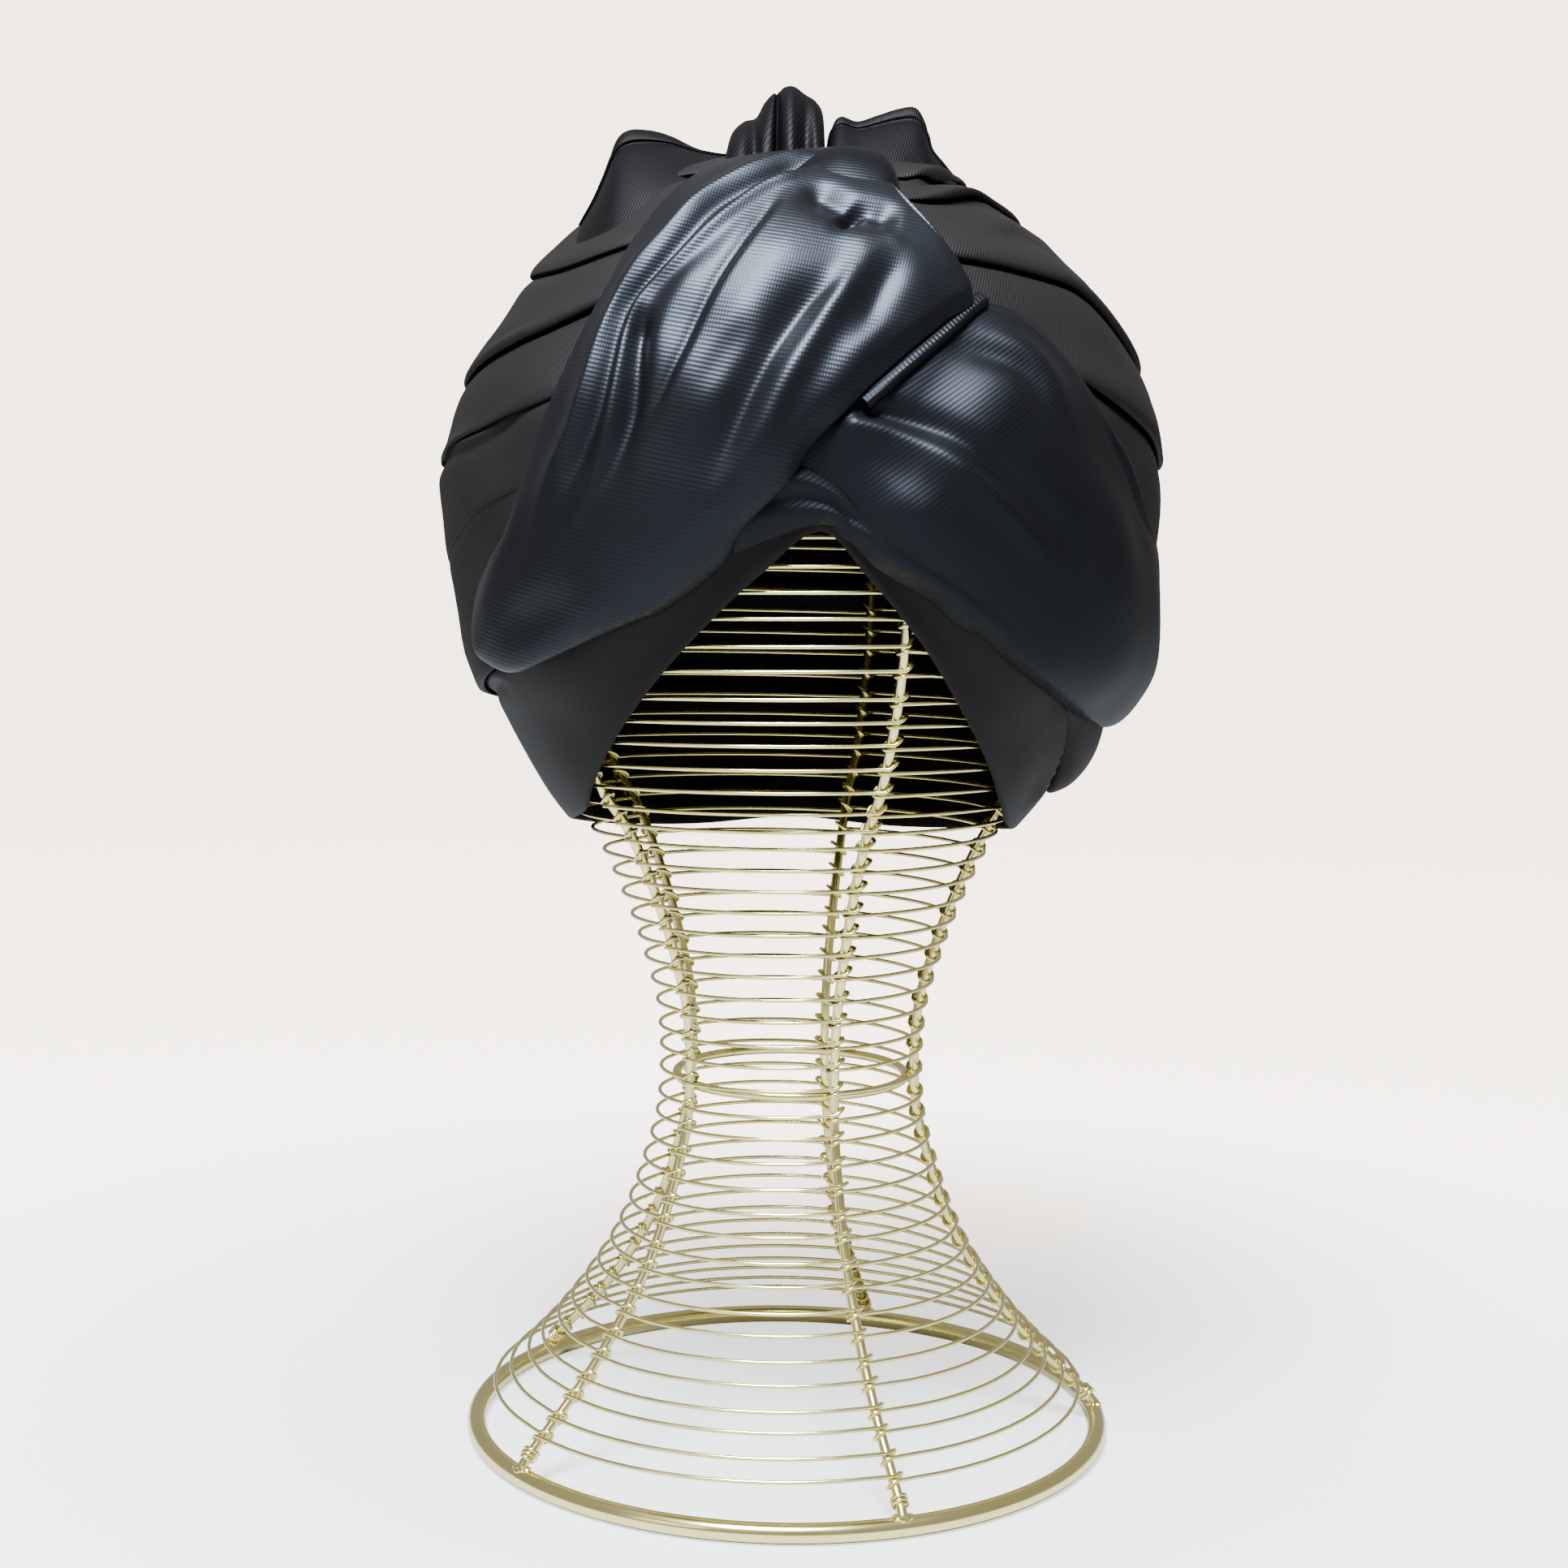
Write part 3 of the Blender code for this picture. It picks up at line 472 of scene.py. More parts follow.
# %% [markdown]
# ## Finishes
# Satin is a fine twill: slanting ribs from the piece's own measure, under a soft sheen. Gold wire
# is a pale polished plate.

# %% Finishes
THREAD_PITCH = 0.62
THREAD_DEPTH = 0.35
GOLD_COLOUR = (0.80, 0.72, 0.31, 1)
GOLD_ROUGHNESS = (0.12, 0.26)


def node(tree, kind, place, **values):
    made = tree.nodes.new(kind)
    made.location = place
    for key, value in values.items():
        setattr(made, key, value)
    return made


def satin_finish(name, colour, tint, slant, pitch, relief, gloss, shine):
    """Black twill satin. The slant is the ribs' turn from the piece's width, in degrees."""
    made = bpy.data.materials.new(name)
    made.use_nodes = True
    tree = made.node_tree
    shader = tree.nodes["Principled BSDF"]
    shader.inputs["Base Color"].default_value = colour
    shader.inputs["Roughness"].default_value = gloss
    shader.inputs["Specular IOR Level"].default_value = shine
    shader.inputs["Specular Tint"].default_value = tint
    measure = node(tree, "ShaderNodeUVMap", (-1100, 0), uv_map="cloth")
    turn = node(tree, "ShaderNodeMapping", (-900, 0))
    turn.inputs["Rotation"].default_value = (0, 0, math.radians(slant))
    split = node(tree, "ShaderNodeSeparateXYZ", (-720, 0))
    rib = node(tree, "ShaderNodeMath", (-540, 60), operation="MULTIPLY")
    rib.inputs[1].default_value = 2 * math.pi / pitch
    wave = node(tree, "ShaderNodeMath", (-380, 60), operation="SINE")
    thread = node(tree, "ShaderNodeMath", (-540, -120), operation="MULTIPLY")
    thread.inputs[1].default_value = 2 * math.pi / (pitch * THREAD_PITCH)
    weave = node(tree, "ShaderNodeMath", (-380, -120), operation="SINE")
    both = node(tree, "ShaderNodeMath", (-220, 0), operation="MULTIPLY_ADD")
    both.inputs[1].default_value = THREAD_DEPTH
    bump = node(tree, "ShaderNodeBump", (-60, -60))
    bump.inputs["Strength"].default_value = 1.0
    bump.inputs["Distance"].default_value = relief
    tree.links.new(measure.outputs[0], turn.inputs["Vector"])
    tree.links.new(turn.outputs[0], split.inputs[0])
    tree.links.new(split.outputs["X"], rib.inputs[0])
    tree.links.new(split.outputs["Y"], thread.inputs[0])
    tree.links.new(rib.outputs[0], wave.inputs[0])
    tree.links.new(thread.outputs[0], weave.inputs[0])
    tree.links.new(weave.outputs[0], both.inputs[0])
    tree.links.new(wave.outputs[0], both.inputs[2])
    tree.links.new(both.outputs[0], bump.inputs["Height"])
    tree.links.new(bump.outputs[0], shader.inputs["Normal"])
    return made


def gold_finish():
    made = bpy.data.materials.new("pale gold plate")
    made.use_nodes = True
    tree = made.node_tree
    shader = tree.nodes["Principled BSDF"]
    shader.inputs["Metallic"].default_value = 1.0
    shader.inputs["Base Color"].default_value = GOLD_COLOUR
    place = node(tree, "ShaderNodeTexCoord", (-700, 0))
    cloud = node(tree, "ShaderNodeTexNoise", (-520, 0))
    cloud.inputs["Scale"].default_value = 60
    cloud.inputs["Detail"].default_value = 3
    spread = node(tree, "ShaderNodeMapRange", (-320, 0))
    spread.inputs["To Min"].default_value = GOLD_ROUGHNESS[0]
    spread.inputs["To Max"].default_value = GOLD_ROUGHNESS[1]
    tree.links.new(place.outputs["Object"], cloud.inputs["Vector"])
    tree.links.new(cloud.outputs[0], spread.inputs["Value"])
    tree.links.new(spread.outputs[0], shader.inputs["Roughness"])
    return made


SATIN_BLACK = (0.0016, 0.0015, 0.0018, 1)
MATT_BLACK = (0.0050, 0.0044, 0.0045, 1)
COOL = (0.72, 0.83, 1.0, 1)
NEUTRAL = (1.0, 0.96, 0.95, 1)
# Colour, tint of the sheen, slant in degrees, pitch and relief of the ribs in metres, gloss, shine
SATIN_ROWS = {
    "left sash": (SATIN_BLACK, COOL, 101, 0.0013, 0.000018, 0.40, 0.19),
    "right sash": (SATIN_BLACK, COOL, 55, 0.0013, 0.000018, 0.47, 0.13),
    "hem": (SATIN_BLACK, COOL, 140, 0.0013, 0.00004, 0.42, 0.10),
    "knot": (SATIN_BLACK, COOL, 101, 0.0013, 0.00002, 0.42, 0.075),
    "cap": (MATT_BLACK, NEUTRAL, 15, 0.0010, 0.00004, 0.55, 0.10),
    "ruffles": (SATIN_BLACK, NEUTRAL, 15, 0.0010, 0.00003, 0.50, 0.06)}
LEFT_SATIN, RIGHT_SATIN, HEM_SATIN, KNOT_SATIN, CAP_SATIN, TUFT_SATIN = (
    satin_finish("black satin, " + name, *row) for name, row in SATIN_ROWS.items())
GOLD = gold_finish()
print("OK finishes:", LEFT_SATIN.name, RIGHT_SATIN.name, CAP_SATIN.name, GOLD.name)

# %% [markdown]
# ## The wire stand
# Five ribs rise from a heavy base ring. Each hoop is one wire that takes a turn round every rib.

# %% Ribs and rings
def at_profile(distance, outset):
    """Height and radius of a place along the ribs, moved out along the normal."""
    z, r, nz, nr = (np.interp(distance, ARC, column)
                    for column in (PROFILE_Z, PROFILE_R, NORMAL_Z, NORMAL_R))
    return z + nz * outset, r + nr * outset, nz, nr


def circle(radius, height, count=160):
    turns = np.linspace(0, 2 * math.pi, count, endpoint=False)
    return np.stack((radius * np.sin(turns), -radius * np.cos(turns), np.full(count, height)), axis=1)


def finish_wire(piece):
    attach(piece, "root")
    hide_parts(*NODES_OF_STAND)
    return piece


distances = np.linspace(0, ARC[-1], 120)
rib_z, rib_r, _, _ = at_profile(distances, 0.0)
rib_path = np.stack((rib_r * 0, -rib_r, rib_z), axis=1)
ribs = path_piece("ribs", [rib_path])
grow(ribs, SWEEP, Radius=RIB_WIRE / 2, Sides=12, Finish=GOLD)
grow(ribs, AROUND, Count=RIB_COUNT, **{"First angle": FIRST_RIB}, Finish=GOLD)
base_ring = path_piece("base_ring", [circle(BASE_RADIUS, BASE_WIRE / 2)], closed=True)
grow(base_ring, SWEEP, Radius=BASE_WIRE / 2, Sides=28, Finish=GOLD)
neck_radius = float(PROFILE(NECK_RING_HEIGHT)) - (RIB_WIRE + NECK_WIRE) / 2
neck_ring = path_piece("neck_ring", [circle(neck_radius, NECK_RING_HEIGHT)], closed=True)
grow(neck_ring, SWEEP, Radius=NECK_WIRE / 2, Sides=14, Finish=GOLD)
for piece in (ribs, base_ring, neck_ring):
    finish_wire(piece)
print("OK ribs and rings:", len(ribs.data.vertices), "points in the ribs")

# %% Hoops
# Ranges in millimetres: slack of a turn, its drop, its rise, slip along the rib, and uneven spacing
TURN_SLACK = (0.1, 0.9)
TURN_DROP = (0.7, 1.2)
TURN_RISE = (1.1, 2.0)
TURN_SLIP = (-0.25, 0.25)
UNEVEN = (-0.5, 0.5)
TURN_LEAN = 1.1
FIRST_HOOP = 0.010
LAST_HOOP_GAP = 0.002


def hoop_path(distance, rng):
    """One hoop: a span from rib to rib, and a loose turn round each rib."""
    wire = HOOP_WIRE / 2
    hold = RIB_WIRE / 2 + wire
    z, r, nz, nr = at_profile(distance, 0.0)
    points = []
    turns = np.linspace(0, 2 * math.pi, 22)
    for k in range(RIB_COUNT):
        azimuth = FIRST_RIB + 2 * math.pi * k / RIB_COUNT
        over = np.array((math.cos(azimuth), math.sin(azimuth), 0.0))
        out = np.array((nr * math.sin(azimuth), -nr * math.cos(azimuth), nz))
        up = np.array((-nz * math.sin(azimuth), nz * math.cos(azimuth), nr))
        rib = np.array((r * math.sin(azimuth), -r * math.cos(azimuth), z))
        loose = rng.uniform(*TURN_SLACK) * MM
        drop = rng.uniform(*TURN_DROP) * MM
        rise = rng.uniform(*TURN_RISE) * MM
        slip = rng.uniform(*TURN_SLIP) * MM
        for turn in turns:
            side = math.sin(turn)
            wide = hold + loose * max(side, 0.0) ** 2
            height = wire * TURN_LEAN * math.cos(turn / 2) + slip
            height += rise * side if side > 0 else drop * side
            points.append(rib + out * hold * math.cos(turn) + over * wide * side + up * height)
        start = azimuth
        end = azimuth + 2 * math.pi / RIB_COUNT
        for way in np.linspace(0, 1, 16)[2:-2]:
            turn = start + (end - start) * way
            climb = wire * TURN_LEAN * (2 * way - 1)
            span_z, span_r = z + nz * hold + nr * climb, r + nr * hold - nz * climb
            points.append(np.array((span_r * math.sin(turn), -span_r * math.cos(turn), span_z)))
    return points


rng = np.random.default_rng(4)
hoop_count = int(ARC[-1] / HOOP_PITCH)
hoop_places = np.linspace(FIRST_HOOP, ARC[-1] - LAST_HOOP_GAP, hoop_count)
hoop_places += rng.uniform(*UNEVEN, hoop_count) * MM
hoops = path_piece("hoops", [hoop_path(place, rng) for place in hoop_places], closed=True)
grow(hoops, SWEEP, Radius=HOOP_WIRE / 2, Sides=7, Finish=GOLD)
finish_wire(hoops)
print("OK hoops:", hoop_count, "hoops,", len(hoops.data.polygons), "faces")

# %% [markdown]
# Each rib's foot has a tight binding of hoop wire over a small lump of solder on the base ring.

# %% Feet
FIRST_TURN = 0.0028
FOOT_TURNS = 2.6
SOLDER_SIZE = (0.0034, 0.0024, 0.0016)
foot_turns = np.linspace(0, FOOT_TURNS * 2 * math.pi, 60)
foot_climb = foot_turns / (2 * math.pi) * HOOP_WIRE * TURN_LEAN
foot_z, foot_r, foot_nz, foot_nr = at_profile(FIRST_TURN + foot_climb, 0.0)
hold = RIB_WIRE / 2 + HOOP_WIRE / 2
binding_path = np.stack((hold * np.sin(foot_turns),
                         -(foot_r + foot_nr * hold * np.cos(foot_turns)),
                         foot_z + foot_nz * hold * np.cos(foot_turns)), axis=1)
bindings = path_piece("foot_bindings", [binding_path])
grow(bindings, SWEEP, Radius=HOOP_WIRE / 2, Sides=8, Finish=GOLD)
grow(bindings, AROUND, Count=RIB_COUNT, **{"First angle": FIRST_RIB}, Finish=GOLD)
finish_wire(bindings)


def make_solder():
    body = bmesh.new()
    bmesh.ops.create_icosphere(body, subdivisions=4, radius=1.0)
    for corner in body.verts:
        point = np.array(corner.co)
        lump = 1 + 0.10 * math.sin(5 * point[0] + 1) * math.cos(6 * point[2])
        lump += 0.08 * math.sin(9 * point[1])
        wide, deep, tall = SOLDER_SIZE
        corner.co = (point[0] * wide * lump, -BASE_RADIUS + point[1] * deep * lump,
                     BASE_WIRE * 0.88 + point[2] * tall * lump)
    mesh = bpy.data.meshes.new("solder")
    body.to_mesh(mesh)
    body.free()
    mesh.shade_smooth()
    made = bpy.data.objects.new("solder", mesh)
    bpy.context.collection.objects.link(made)
    return made


solder = make_solder()
grow(solder, AROUND, Count=RIB_COUNT, **{"First angle": FIRST_RIB}, Finish=GOLD)
finish_wire(solder)
print("OK feet")

# %% [markdown]
# ## The cap
# The cap is gathered into six pleats. At each crease the lower pleat tucks up behind the rounded
# lip of the one above it, so the surface folds back on itself.

# %% Cap
FOLD_ROWS = ((-6.5, -6.5, 0.00), (-3.5, -2.6, -0.10), (-2.2, 0.4, -0.55), (-1.1, 2.3, -1.05),
             (-0.3, 1.7, -0.75), (0.4, -0.5, -0.22), (1.2, -1.15, 0.08), (2.4, 0.1, 0.30),
             (4.0, 3.2, 0.22), (7.0, 7.0, 0.05))
CAP_FOLDS = (
    (((28, 36), (33, 37), (37, 36)), 0.8, 2.0, -1.0, 1.2, 0.6, (0.4, 0.5)),
    (((32, 59), (48, 62), (67, 63)), 1.6, 3.0, -1.6, 2.0, 0.8, (0.3, 0.4)),
    (((34, 55), (54, 56), (73, 53)), 1.2, 2.5, -1.0, 2.0, 1.2, (0.3, 0.4)),
    (((35, 46), (59, 48), (76, 46), (100, 40)), 0.9, 3.0, -0.6, 3.0, 1.5, (0.3, 0.4)),
    (((-56, 11), (-70, 8), (-84, 4), (-98, 1)), 1.0, 3.0, 1.6, 3.0, 1.2, (0.3, 0.4)),
    (((-50, 30), (-62, 27), (-80, 22)), 0.8, 3.0, -0.6, 2.5, 1.2, (0.3, 0.5)),
    (((-46, 15), (-53, 13), (-62, 10), (-79, 8), (-95, 3)), -0.9, 2.0, 1.2, 2.2, 0.8, (0.3, 0.4)),
    (((-51, 3), (-57, -2), (-70, -8), (-90, -12)), -0.5, 3.0, 0.8, 3.0, 2.0, (0.3, 0.5)),
    (((-58, -27), (-65, -27), (-81, -30), (-100, -33)), -1.4, 2.2, 1.6, 3.0, 0.9, (0.3, 0.5)),
    (((50, -27), (57, -31), (63, -36), (68, -41), (71, -46), (72, -50)),
     -1.0, 1.6, 2.4, 3.4, 0.9, (0.2, 0.2)),
    (((95, 20), (115, 16), (140, 19), (165, 17)), 1.1, 4.0, -0.6, 3.0, 1.6, (0.4, 0.4)),
    (((100, -4), (125, 0), (150, -3), (178, 1)), 0.9, 4.0, -0.8, 3.0, 1.6, (0.4, 0.4)),
    (((-170, 20), (-145, 16), (-120, 19), (-98, 14)), 0.9, 4.0, -0.6, 3.0, 1.6, (0.4, 0.4)),
    (((-178, -24), (-150, -21), (-125, -25), (-100, -22)), 0.8, 3.5, -0.7, 3.0, 1.6, (0.4, 0.4)),
    (((110, -26), (135, -23), (160, -27), (180, -25)), 0.8, 3.5, -0.7, 3.0, 1.6, (0.4, 0.4)),
    (((120, 40), (145, 37), (170, 41)), 0.9, 4.0, -0.7, 3.0, 1.6, (0.4, 0.4)),
    (((-165, 38), (-140, 41), (-110, 35)), 0.9, 4.0, -0.7, 3.0, 1.6, (0.4, 0.4)))
CAP_COLUMNS = 224
CAP_FINE = 3
# Degrees above the hem and height in millimetres, from inside the cap round the hem's edge
HEM_TURN = ((3.0, -1.3), (1.0, -1.5), (-0.1, -1.2), (-0.35, -0.5), (0.1, 0.1), (1.2, 0.3))
FULL_ROOM = 16.0
LEAST_ROOM = 0.15


def crease_depth(index, azimuth):
    start_left, start_right, left, back, right = CREASE_DEPTHS[index]
    left = left * LEFT_SOFTNESS[index]
    start_left = start_left + LEFT_START_SHIFT
    start_right = start_right - RIGHT_START_SHIFT
    degrees = (np.degrees(azimuth) + 180) % 360 - 180
    before = smooth_step((start_left - degrees) / CREASE_FADE)
    before = before * (left + (back - left) * smooth_step((-degrees - 90) / 90))
    after = smooth_step((degrees - start_right) / CREASE_FADE)
    after = after * (right + (back - right) * smooth_step((degrees - 90) / 90))
    return PLEAT_DEPTH * np.where(degrees < 0, before, after)


def cap_points():
    azimuth = np.linspace(-math.pi, math.pi, CAP_COLUMNS, endpoint=False)
    hem = HEM(azimuth)
    lines = [curve(azimuth) for curve in CREASES]
    rows = [(hem + above, height * MM) for above, height in HEM_TURN]
    rows += [(hem + (lines[0] - hem) * 0.25 + 1.0, 0.0), (hem + (lines[0] - hem) * 0.55, 0.0)]
    for index, line in enumerate(lines):
        depth = crease_depth(index, azimuth)
        fold = np.clip(depth / PLEAT_DEPTH, 0, 1) ** 0.6
        room = [line - (lines[index - 1] if index else hem),
                (lines[index + 1] if index + 1 < len(lines) else 90) - line]
        squeeze = [np.clip(gap / FULL_ROOM, LEAST_ROOM, 1.0) for gap in room]
        for flat, folded, share in FOLD_ROWS:
            tight = squeeze[0] if flat < 0 else squeeze[1]
            rows.append((line + (flat + (folded - flat) * fold) * tight, share * depth))
    top = lines[-1]
    rows += [(top + (90 - top) * way, 0.0) for way in (0.5, 0.75, 0.9, 1.0)]
    elevation = np.array([row[0] for row in rows])
    height = np.array([row[1] + np.zeros(CAP_COLUMNS) for row in rows])
    places = np.linspace(0, len(rows) - 1, (len(rows) - 1) * CAP_FINE + 1)
    elevation = np.radians(np.minimum(smooth_rows(elevation, places), 90.0))
    height = smooth_rows(height, places)
    turns = np.broadcast_to(azimuth, elevation.shape)
    clear = smooth_step((np.degrees(elevation) - HEM(turns)) / 6)
    extra = fold_relief(turns, elevation, CAP_FOLDS) * clear
    reach = cap_range(turns, elevation) + height + extra
    points = CENTRE + reach[..., None] * ray(turns, elevation)
    points += (ripple(points, 0.045, 0.35 * MM, 1) * clear)[..., None] * ray(turns, elevation)
    return points


cap = grid_cloth("satin_cap", cap_points(), CAP_SATIN, "cap", closed=True)
print("OK cap:", len(cap.data.polygons), "faces,", area_of(cap), "m2 of cloth")

# %% [markdown]
# ## The sash lobes
# A lobe is a folded band of cloth: a soft arch from edge to edge, with the folds that run along it.

# %% Lobes
LEFT_LINES = (
    (((9, 60), (-2, 57), (-11, 53), (-19, 47), (-24, 40), (-28, 34), (-30, 27.5), (-31, 22),
      (-31.5, 17), (-33, 11), (-35.5, 6), (-38.5, 0), (-42, -8)), 1.6, 2.8, 2.6, 2.2, 0.8, (0.1, 0.25)),
    (((7, 57.5), (-4, 53), (-15, 46.5), (-20, 40), (-24.5, 33), (-27.5, 28.5), (-28.3, 24), (-28.6, 19),
      (-29.3, 13.5), (-31, 8), (-33.5, 2), (-37, -5)), -3.0, 1.4, -3.0, 1.5, 0.8, (0.1, 0.3)),
    (((6, 54), (-3, 50), (-9, 46.8), (-16, 39.6), (-20.5, 34.6),
     (-24.4, 30.6), (-26.2, 26), (-26.5, 21),
      (-26.6, 16), (-27, 11), (-28.6, 5), (-31.6, -1), (-36, -7)), 2.0, 1.2, 2.2, 1.0, 0.8, (0.1, 0.3)),
    (((-24, 28), (-24.6, 24), (-24.2, 20), (-24, 16), (-24.4, 11), (-25.8, 6), (-28, 1)),
     -3.4, 1.9, -2.4, 1.2, 0.8, (0.2, 0.4)),
    (((-14, 37), (-18, 31), (-20.5, 25), (-21.5, 19), (-21.5, 14)),
     0.9, 1.8, 0.9, 1.8, 0.8, (0.3, 0.4)),
    (((-3, 47), (-6, 42), (-9, 37), (-12, 31.5), (-14.5, 25.5), (-16.6, 19.5), (-19.4, 13), (-23, 8.5)),
     0.8, 2.2, -1.9, 1.5, 0.9, (0.2, 0.25)),
    (((3, 47), (-3.5, 37), (-8, 28), (-12.4, 19.5), (-15.8, 11.5), (-18, 5)),
     2.0, 4.4, 2.0, 4.0, 1.0, (0.25, 0.35)),
    (((-6, 26), (-11, 19.5), (-15, 12)), -0.8, 1.8, -0.8, 1.8, 1.0, (0.4, 0.4)),
    (((10, 36), (5, 31.5), (0.5, 28), (-3.5, 22.5), (-6.5, 17), (-9.2, 11), (-11.8, 5), (-14.5, -1)),
     -2.6, 1.9, -2.2, 2.4, 1.0, (0.35, 0.35)),
    (((14, 38.5), (8.5, 33), (5, 28), (1, 21.5), (-2.4, 15.4), (-4.6, 10.5), (-7, 5.5), (-10.5, 0)),
     1.8, 1.8, 2.0, 2.0, 1.0, (0.25, 0.35)),
    (((16.5, 37), (12, 31), (9, 26), (5.5, 21)), -1.6, 2.2, -1.2, 1.8, 1.0, (0.3, 0.5)),
    (((15, 27), (9, 20), (4, 13), (-2, 5.5), (-8, -1.5)), 1.2, 2.6, 1.6, 3.0, 1.0, (0.3, 0.4)),
    (((0, 49), (4, 46.5), (8, 44), (13, 43), (18, 41.5)), -2.4, 2.0, -3.4, 3.4, 1.0, (0.25, 0.2)),
    (((7, 43), (8.5, 42), (10, 41)), -3.6, 2.0, -3.6, 2.4, 1.0, (0.4, 0.4)),
    (((5, 37.5), (9, 37), (13, 38.5), (16, 40)), 0.6, 2.0, 0.5, 2.4, 1.0, (0.4, 0.3)),
    (((-30, -12), (-40, -15), (-50, -19)), -1.2, 3.0, -1.2, 3.0, 1.0, (0.4, 0.4)),
    (((-41, 6), (-46, -3), (-52, -12), (-56, -18)), 1.2, 3.0, 1.2, 3.0, 1.0, (0.4, 0.4)))
RIGHT_LINES = (
    (((24, 26), (31, 25), (37, 21), (40, 15), (41.5, 10)), 1.8, 3.0, 1.8, 3.0, 1.0, (0.4, 0.5)),
    (((21, 23.5), (28, 22.5), (33, 20), (35.5, 16), (36, 10)), -2.0, 2.2, -2.0, 2.2, 1.0, (0.4, 0.5)),
    (((7, 14), (13.8, 13.2), (21, 10.4), (26, 7), (31, 3), (37, -2.2), (44, -8)),
     -2.2, 2.0, -2.2, 1.2, 0.8, (0.1, 0.35)),
    (((5, 12.4), (10, 12), (17, 9.4), (23, 5.6), (28, 1.8), (33.5, -3), (40, -9)),
     1.6, 1.2, 2.6, 3.6, 0.8, (0.1, 0.35)),
    (((2, 2), (9, -3), (17, -8), (26, -13), (36, -19)),
     -0.8, 2.4, 1.0, 2.0, 1.0, (0.2, 0.4)),
    (((12, 3), (19, -1), (26, -5.5), (34, -11)), 0.9, 2.6, 0.9, 2.6, 1.0, (0.4, 0.5)),
    (((49, 15), (55, 8), (62, 0), (72, -6)), 0.9, 1.6, -0.8, 1.6, 1.0, (0.3, 0.4)),
    (((43, 17), (50, 8), (58, -2), (66, -12)), -1.2, 4.0, -1.2, 4.0, 1.5, (0.4, 0.4)),
    (((48, -4), (56, -14), (66, -24)), 1.0, 4.0, 1.0, 4.0, 1.5, (0.4, 0.4)))
# Shares of a sash's width or length, and the shape of its arch from edge to edge
RIM_DROP = 1.2 * MM
RIM_DROP_WIDTH = 0.05
RIM_WIDTH = 0.10
ARCH_PEAK = 0.45
ARCH_FLATNESS = 3.4
ARCH_ROUNDING = 0.62
TIP_FADE = 0.16
TIP_END = 1.02
ROOT_LEAD = 0.10
ROOT_FADE = 0.18


def lobe_points(rows, along_count, across_count, puff, lines, tongue, seed):
    places = np.linspace(0, len(rows) - 1, along_count)
    edges = smooth_rows(np.array(rows), places)
    along = (places / (len(rows) - 1))[:, None]
    turn = np.linspace(0, math.pi, across_count)[None]
    across = 0.5 - 0.5 * np.cos(turn) + 0 * along
    azimuth = np.radians(edges[:, :1] + (edges[:, 2:3] - edges[:, :1]) * across)
    elevation = np.radians(edges[:, 1:2] + (edges[:, 3:4] - edges[:, 1:2]) * across)
    bow = np.where(across < 0.5, np.sin(math.pi / 2 * np.minimum(across / ARCH_PEAK, 1)),
                   np.maximum(1 - np.abs(2 * across - 1) ** ARCH_FLATNESS, 0) ** ARCH_ROUNDING)
    if tongue:
        ends = smooth_step((along - tongue) / TIP_FADE)
    else:
        ends = smooth_step((along + ROOT_LEAD) / ROOT_FADE)
    ends = ends * smooth_step((TIP_END - along) / TIP_FADE)
    lift = LAYER_GAP + edges[:, 4:5] * across * (LOBE_WALL + LAYER_GAP)
    rim = smooth_step(across / RIM_WIDTH) * smooth_step((1 - across) / RIM_WIDTH)
    reach = cap_range(azimuth, elevation) + lift + LOBE_WALL + puff * bow * ends
    reach += fold_relief(azimuth, elevation, lines) * rim
    reach -= RIM_DROP * (1 - smooth_step(np.minimum(across, 1 - across) / RIM_DROP_WIDTH))
    points = CENTRE + reach[..., None] * ray(azimuth, elevation)
    wave = ripple(points, 0.03, 0.25 * MM, seed) * rim
    return points + wave[..., None] * ray(azimuth, elevation)


RIGHT_TONGUE = 0.13
left_points = lobe_points(LEFT_LOBE_ROWS, 290, 150, LEFT_PUFF, LEFT_LINES, 0.0, 2)
right_points = lobe_points(RIGHT_LOBE_ROWS, 220, 110, RIGHT_PUFF, RIGHT_LINES, RIGHT_TONGUE, 3)
left_sash = grid_cloth("left_sash", left_points, LEFT_SATIN, "left_lobe")
right_sash = grid_cloth("right_sash", right_points, RIGHT_SATIN, "right_lobe")
print("OK lobes:", area_of(left_sash), area_of(right_sash), "m2 of cloth")

# %% [markdown]
# ## Knot, hem and side fold
# Each is a short table of sections: azimuth and elevation in degrees, height over the cap in mm.

